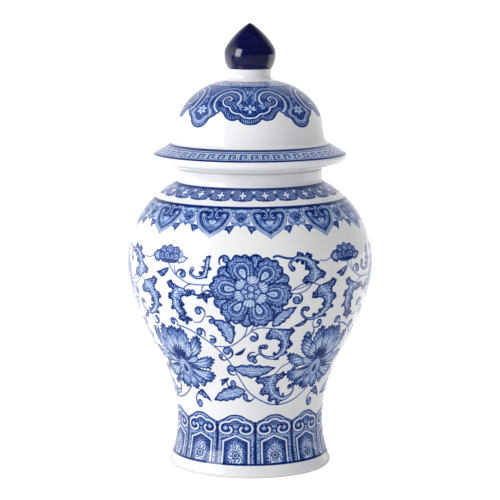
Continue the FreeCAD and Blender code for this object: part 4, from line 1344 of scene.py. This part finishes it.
class Nodes:
    """Builds a node tree, from left to right. A source is a socket, a number or a colour."""

    def __init__(self, owner):
        owner.use_nodes = True
        self.tree = owner.node_tree

    def add(self, kind, **settings):
        node = self.tree.nodes.new("ShaderNode" + kind)
        for key, value in settings.items():
            setattr(node, key, value)
        return node

    def feed(self, target, source):
        if isinstance(source, bpy.types.NodeSocket):
            self.tree.links.new(source, target)
        else:
            target.default_value = light(source) if isinstance(source, tuple) else source

    def shade(self, name, inputs):
        """Feeds some inputs of a node that the tree has from the start."""
        for key, source in inputs.items():
            self.feed(self.tree.nodes[name].inputs[key], source)

    def sum(self, operation, first, second, clamp=False):
        """One sum with two numbers; operation says which kind."""
        node = self.add("Math", operation=operation, use_clamp=clamp)
        self.feed(node.inputs[0], first)
        self.feed(node.inputs[1], second)
        return node.outputs[0]

    def field(self, name):
        """A value that the mesh carries at each vertex."""
        return self.add("Attribute", attribute_name=name).outputs["Fac"]

    def noise(self, size, stretch=(1, 1, 1), detail=3.0, rough=0.55):
        """Noise between 0 and 1 whose features are about size mm across."""
        place = self.add("Mapping")
        place.inputs["Scale"].default_value = stretch
        self.feed(place.inputs["Vector"], self.add("TexCoord").outputs["Object"])
        node = self.add("TexNoise")
        self.feed(node.inputs["Scale"], 1 / (size * MM))
        self.feed(node.inputs["Detail"], detail)
        self.feed(node.inputs["Roughness"], rough)
        self.feed(node.inputs["Vector"], place.outputs[0])
        return node.outputs["Fac"]

    def ramp(self, source, stops):
        """A colour for each value of the source; a stop is (value, colour)."""
        node = self.add("ValToRGB")
        marks = node.color_ramp.elements
        while len(marks) < len(stops):
            marks.new(0.5)
        for mark, (place, colour) in zip(marks, stops):
            mark.position = place
            mark.color = light(colour)
        self.feed(node.inputs[0], source)
        return node.outputs[0]

    def blend(self, share, first, second, mode="MIX"):
        """A mixture of two colours."""
        node = self.add("Mix", data_type="RGBA", blend_type=mode)
        for slot, source in ((0, share), (6, first), (7, second)):
            self.feed(node.inputs[slot], source)
        return node.outputs[2]

    def choose(self, share, first, second):
        """A mixture of two numbers."""
        node = self.add("Mix")
        for slot, source in ((0, share), (2, first), (3, second)):
            self.feed(node.inputs[slot], source)
        return node.outputs[0]

    def range(self, source, low, high, to_low, to_high, curve="LINEAR"):
        """Low to high, mapped on to_low to to_high and held there beyond them."""
        node = self.add("MapRange", interpolation_type=curve)
        for socket, number in zip(node.inputs, (source, low, high, to_low, to_high)):
            self.feed(socket, number)
        return node.outputs[0]

    def bump(self, height, depth):
        """Relief: height from 0 to 1 stands for depth mm."""
        node = self.add("Bump")
        self.feed(node.inputs["Strength"], 1.0)
        self.feed(node.inputs["Distance"], depth * MM)
        self.feed(node.inputs["Height"], height)
        return node.outputs[0]


def porcelain(name):
    """White glaze over the print; where the skin says bare, the fired clay shows."""
    material = bpy.data.materials.new(name)
    n = Nodes(material)
    pooled = n.range(n.noise(5.0, detail=4.0), 0.3, 0.7, -0.09, 0.09)
    grain = n.range(n.noise(0.7, detail=2.0), 0.3, 0.7, -0.07, 0.07)
    tone = n.field("print")
    inked = n.sum("MULTIPLY", n.sum("ADD", pooled, grain), n.range(tone, 0.02, 0.25, 0.0, 1.0))
    ink = n.ramp(n.sum("ADD", tone, inked, clamp=True), COBALT)
    cloud = n.ramp(n.noise(38.0, detail=2.0), [(0.3, WHITE), (0.75, (247, 248, 250))])
    speck = n.range(n.noise(1.6, detail=0.0), 0.81, 0.85, 0.0, 0.14)
    glaze = n.blend(speck, n.blend(1.0, ink, cloud, "MULTIPLY"), SPECK)
    bare = n.sum("MULTIPLY", n.field("bare"), n.range(n.noise(2.5), 0.2, 0.4, 0.6, 1.0), clamp=True)
    clay = n.ramp(n.noise(0.9, detail=5.0), [(0.3, (208, 200, 186)), (0.55, BISCUIT), (0.8, (236, 233, 226))])
    smear = n.range(n.noise(14.0, detail=3.0), 0.3, 0.7, 0.05, 0.085)
    n.shade("Principled BSDF", {
        "Base Color": n.blend(bare, glaze, clay),
        "Roughness": n.sum("ADD", smear, n.sum("MULTIPLY", bare, 0.55)),
        "Normal": n.bump(n.noise(9.0, detail=1.0), 0.05),
        "IOR": 1.52,
    })
    return material


def cobalt_glaze(name):
    """Thick cobalt glaze brushed round the bud, thinner and lighter where it broke over the brush marks."""
    material = bpy.data.materials.new(name)
    n = Nodes(material)
    strokes = n.noise(3.2, stretch=(0.35, 0.35, 2.6), detail=4.0, rough=0.6)
    deep = [(0.25, (2, 2, 38)), (0.5, (3, 6, 60)), (0.7, (8, 17, 92)), (0.85, (22, 38, 124))]
    n.shade("Principled BSDF", {
        "Base Color": n.ramp(strokes, deep),
        "Roughness": n.range(strokes, 0.3, 0.8, 0.03, 0.1),
        "Normal": n.bump(strokes, 0.1),
        "IOR": 1.68,
    })
    return material


def biscuit(name):
    """Fired clay without glaze: matte, warm white, finely grained."""
    material = bpy.data.materials.new(name)
    n = Nodes(material)
    grain = n.noise(0.8, detail=6.0, rough=0.7)
    n.shade("Principled BSDF", {
        "Base Color": n.ramp(grain, [(0.3, (206, 199, 187)), (0.55, BISCUIT), (0.8, (238, 235, 229))]),
        "Roughness": n.range(grain, 0.3, 0.7, 0.55, 0.72),
        "Normal": n.bump(grain, 0.06),
    })
    return material


# ---------------------------------------------------------------- floor, light and camera
#
# Lengths are in metres here. A span gives the values where a change starts and ends, and what it
# changes from and to.

FLOOR_REACH = 20.0
FLOOR_GLOW = 0.75       # how bright the floor looks to the camera
FLOOR_LIGHT = 0.1       # how much light it gives
FLOOR_TINTS = [(0.3, (247, 247, 248)), (0.7, (250, 250, 250))]
# painted shade: the grey that mirror rays see on the floor in front of the jar
FLOOR_MIRRORED_SHADE = (120, 120, 122)
FLOOR_SPAN = (-0.05, 0.25, 0.0, 1.0)    # along y, from the floor in front to the floor behind
# the room's brightness by direction: in mirrors toward the back, in mirrors toward the left, and as light
MIRROR_SPAN = (0.25, 1.0, 0.05, 1.0)
LEFT_SPAN = (-0.6, -0.98, 0.0, 1.0)
LIGHT_SPAN = (-0.4, 0.8, 0.5, 0.85)
WINDOW_PLACE = (-1.23, -0.86, 0.72)
WINDOW_SIZE = (0.75, 1.2)
WINDOW_POWER = 16.0
CAMERA_RISE = 8.03      # degrees
CAMERA_REACH = 1.889    # from the camera to where it looks
LENS = 169.2            # mm, for a sensor 36 mm wide
LOOK_HEIGHT = 0.1731    # above the foot


def make_floor(top):
    """A white floor that reaches past everything the camera can see; a faint shadow stays under the foot."""
    mesh = bpy.data.meshes.new("floor")
    size = FLOOR_REACH
    corners = [(-size, -size, top), (size, -size, top), (size, size, top), (-size, size, top)]
    mesh.from_pydata(corners, [], [(0, 1, 2, 3)])
    floor = put("floor", mesh)
    material = bpy.data.materials.new("floor_paint")
    n = Nodes(material)
    tint = n.ramp(n.noise(60.0, detail=2.0), FLOOR_TINTS)
    # painted shade for mirrors: glossy rays see the floor in front of the jar painted grey and barely
    # glowing, so in front of the jar the glaze mirrors a dark floor, behind it a bright one
    path = n.add("LightPath")
    place = n.add("SeparateXYZ")
    n.feed(place.inputs[0], n.add("TexCoord").outputs["Object"])
    behind = n.range(place.outputs["Y"], *FLOOR_SPAN)
    reflected = path.outputs["Is Glossy Ray"]
    dim = n.sum("MULTIPLY", reflected, n.sum("SUBTRACT", 1.0, behind))
    seen = n.sum("MAXIMUM", path.outputs["Is Camera Ray"], n.sum("MULTIPLY", reflected, behind))
    n.shade("Principled BSDF", {
        "Base Color": n.blend(dim, tint, FLOOR_MIRRORED_SHADE),
        "Roughness": 0.9,
        "Specular IOR Level": 0.0,
        "Emission Color": WHITE,
        "Emission Strength": n.sum("MAXIMUM", n.sum("MULTIPLY", seen, FLOOR_GLOW), FLOOR_LIGHT),
    })
    # a camera below the floor sees the jar through it
    mixed = n.add("MixShader")
    below = n.sum("MULTIPLY", n.add("NewGeometry").outputs["Backfacing"], path.outputs["Is Camera Ray"])
    painted = n.tree.nodes["Principled BSDF"].outputs[0]
    for socket, source in zip(mixed.inputs, (below, painted, n.add("BsdfTransparent").outputs[0])):
        n.feed(socket, source)
    n.shade("Material Output", {"Surface": mixed.outputs[0]})
    mesh.materials.append(material)


def aim(thing, target):
    """Turns a lamp or camera so that it looks at a point."""
    way = Vector(target) - thing.location
    thing.rotation_euler = way.to_track_quat("-Z", "Y").to_euler()


def make_window(target):
    """A soft upright lamp in front on the left, as a window would light the jar."""
    lamp = bpy.data.lights.new("window", "AREA")
    lamp.shape = "RECTANGLE"
    lamp.size, lamp.size_y = WINDOW_SIZE
    lamp.energy = WINDOW_POWER
    window = put("window", lamp)
    window.location = WINDOW_PLACE
    aim(window, target)


def make_world():
    """A white studio, dim in front of the jar, so that the glaze mirrors a dark room and keeps its colour."""
    world = bpy.data.worlds.new("studio")
    bpy.context.scene.world = world
    n = Nodes(world)
    way = n.add("SeparateXYZ")
    n.feed(way.inputs[0], n.add("TexCoord").outputs["Generated"])
    path = n.add("LightPath")
    back = n.range(way.outputs["Y"], *MIRROR_SPAN, "SMOOTHSTEP")
    left = n.range(way.outputs["X"], *LEFT_SPAN, "SMOOTHSTEP")
    lit = n.range(way.outputs["Y"], *LIGHT_SPAN, "SMOOTHSTEP")
    strength = n.choose(path.outputs["Is Glossy Ray"], lit, n.sum("ADD", back, left))
    n.shade("Background", {
        "Color": WHITE,
        "Strength": n.choose(path.outputs["Is Camera Ray"], strength, 1.0),
    })


def make_camera(centre):
    """The camera: a little above the jar's shoulder, far enough away for a long lens."""
    camera_data = bpy.data.cameras.new("camera")
    camera_data.sensor_width = 36
    camera_data.lens = LENS
    camera = put("camera", camera_data)
    rise = math.radians(CAMERA_RISE)
    back, up = CAMERA_REACH * math.cos(rise), CAMERA_REACH * math.sin(rise)
    camera.location = (centre.x, centre.y - back, centre.z + up)
    aim(camera, centre)
    bpy.context.scene.camera = camera


# ---------------------------------------------------------------- the scene

pieces = [make_jar(), make_lid(), make_bud(), make_ring()]
printed_porcelain = porcelain("printed_porcelain")
coats = [printed_porcelain, printed_porcelain, cobalt_glaze("cobalt_glaze"), biscuit("plain_porcelain")]
for piece, coat in zip(pieces, coats):
    piece.data.materials.append(coat)

foot = cad_bounds[0].z
middle = Vector((0, 0, foot + LOOK_HEIGHT))
make_floor(foot)
make_world()
make_window(middle)
make_camera(middle)
bpy.context.scene.view_settings.view_transform = "Standard"
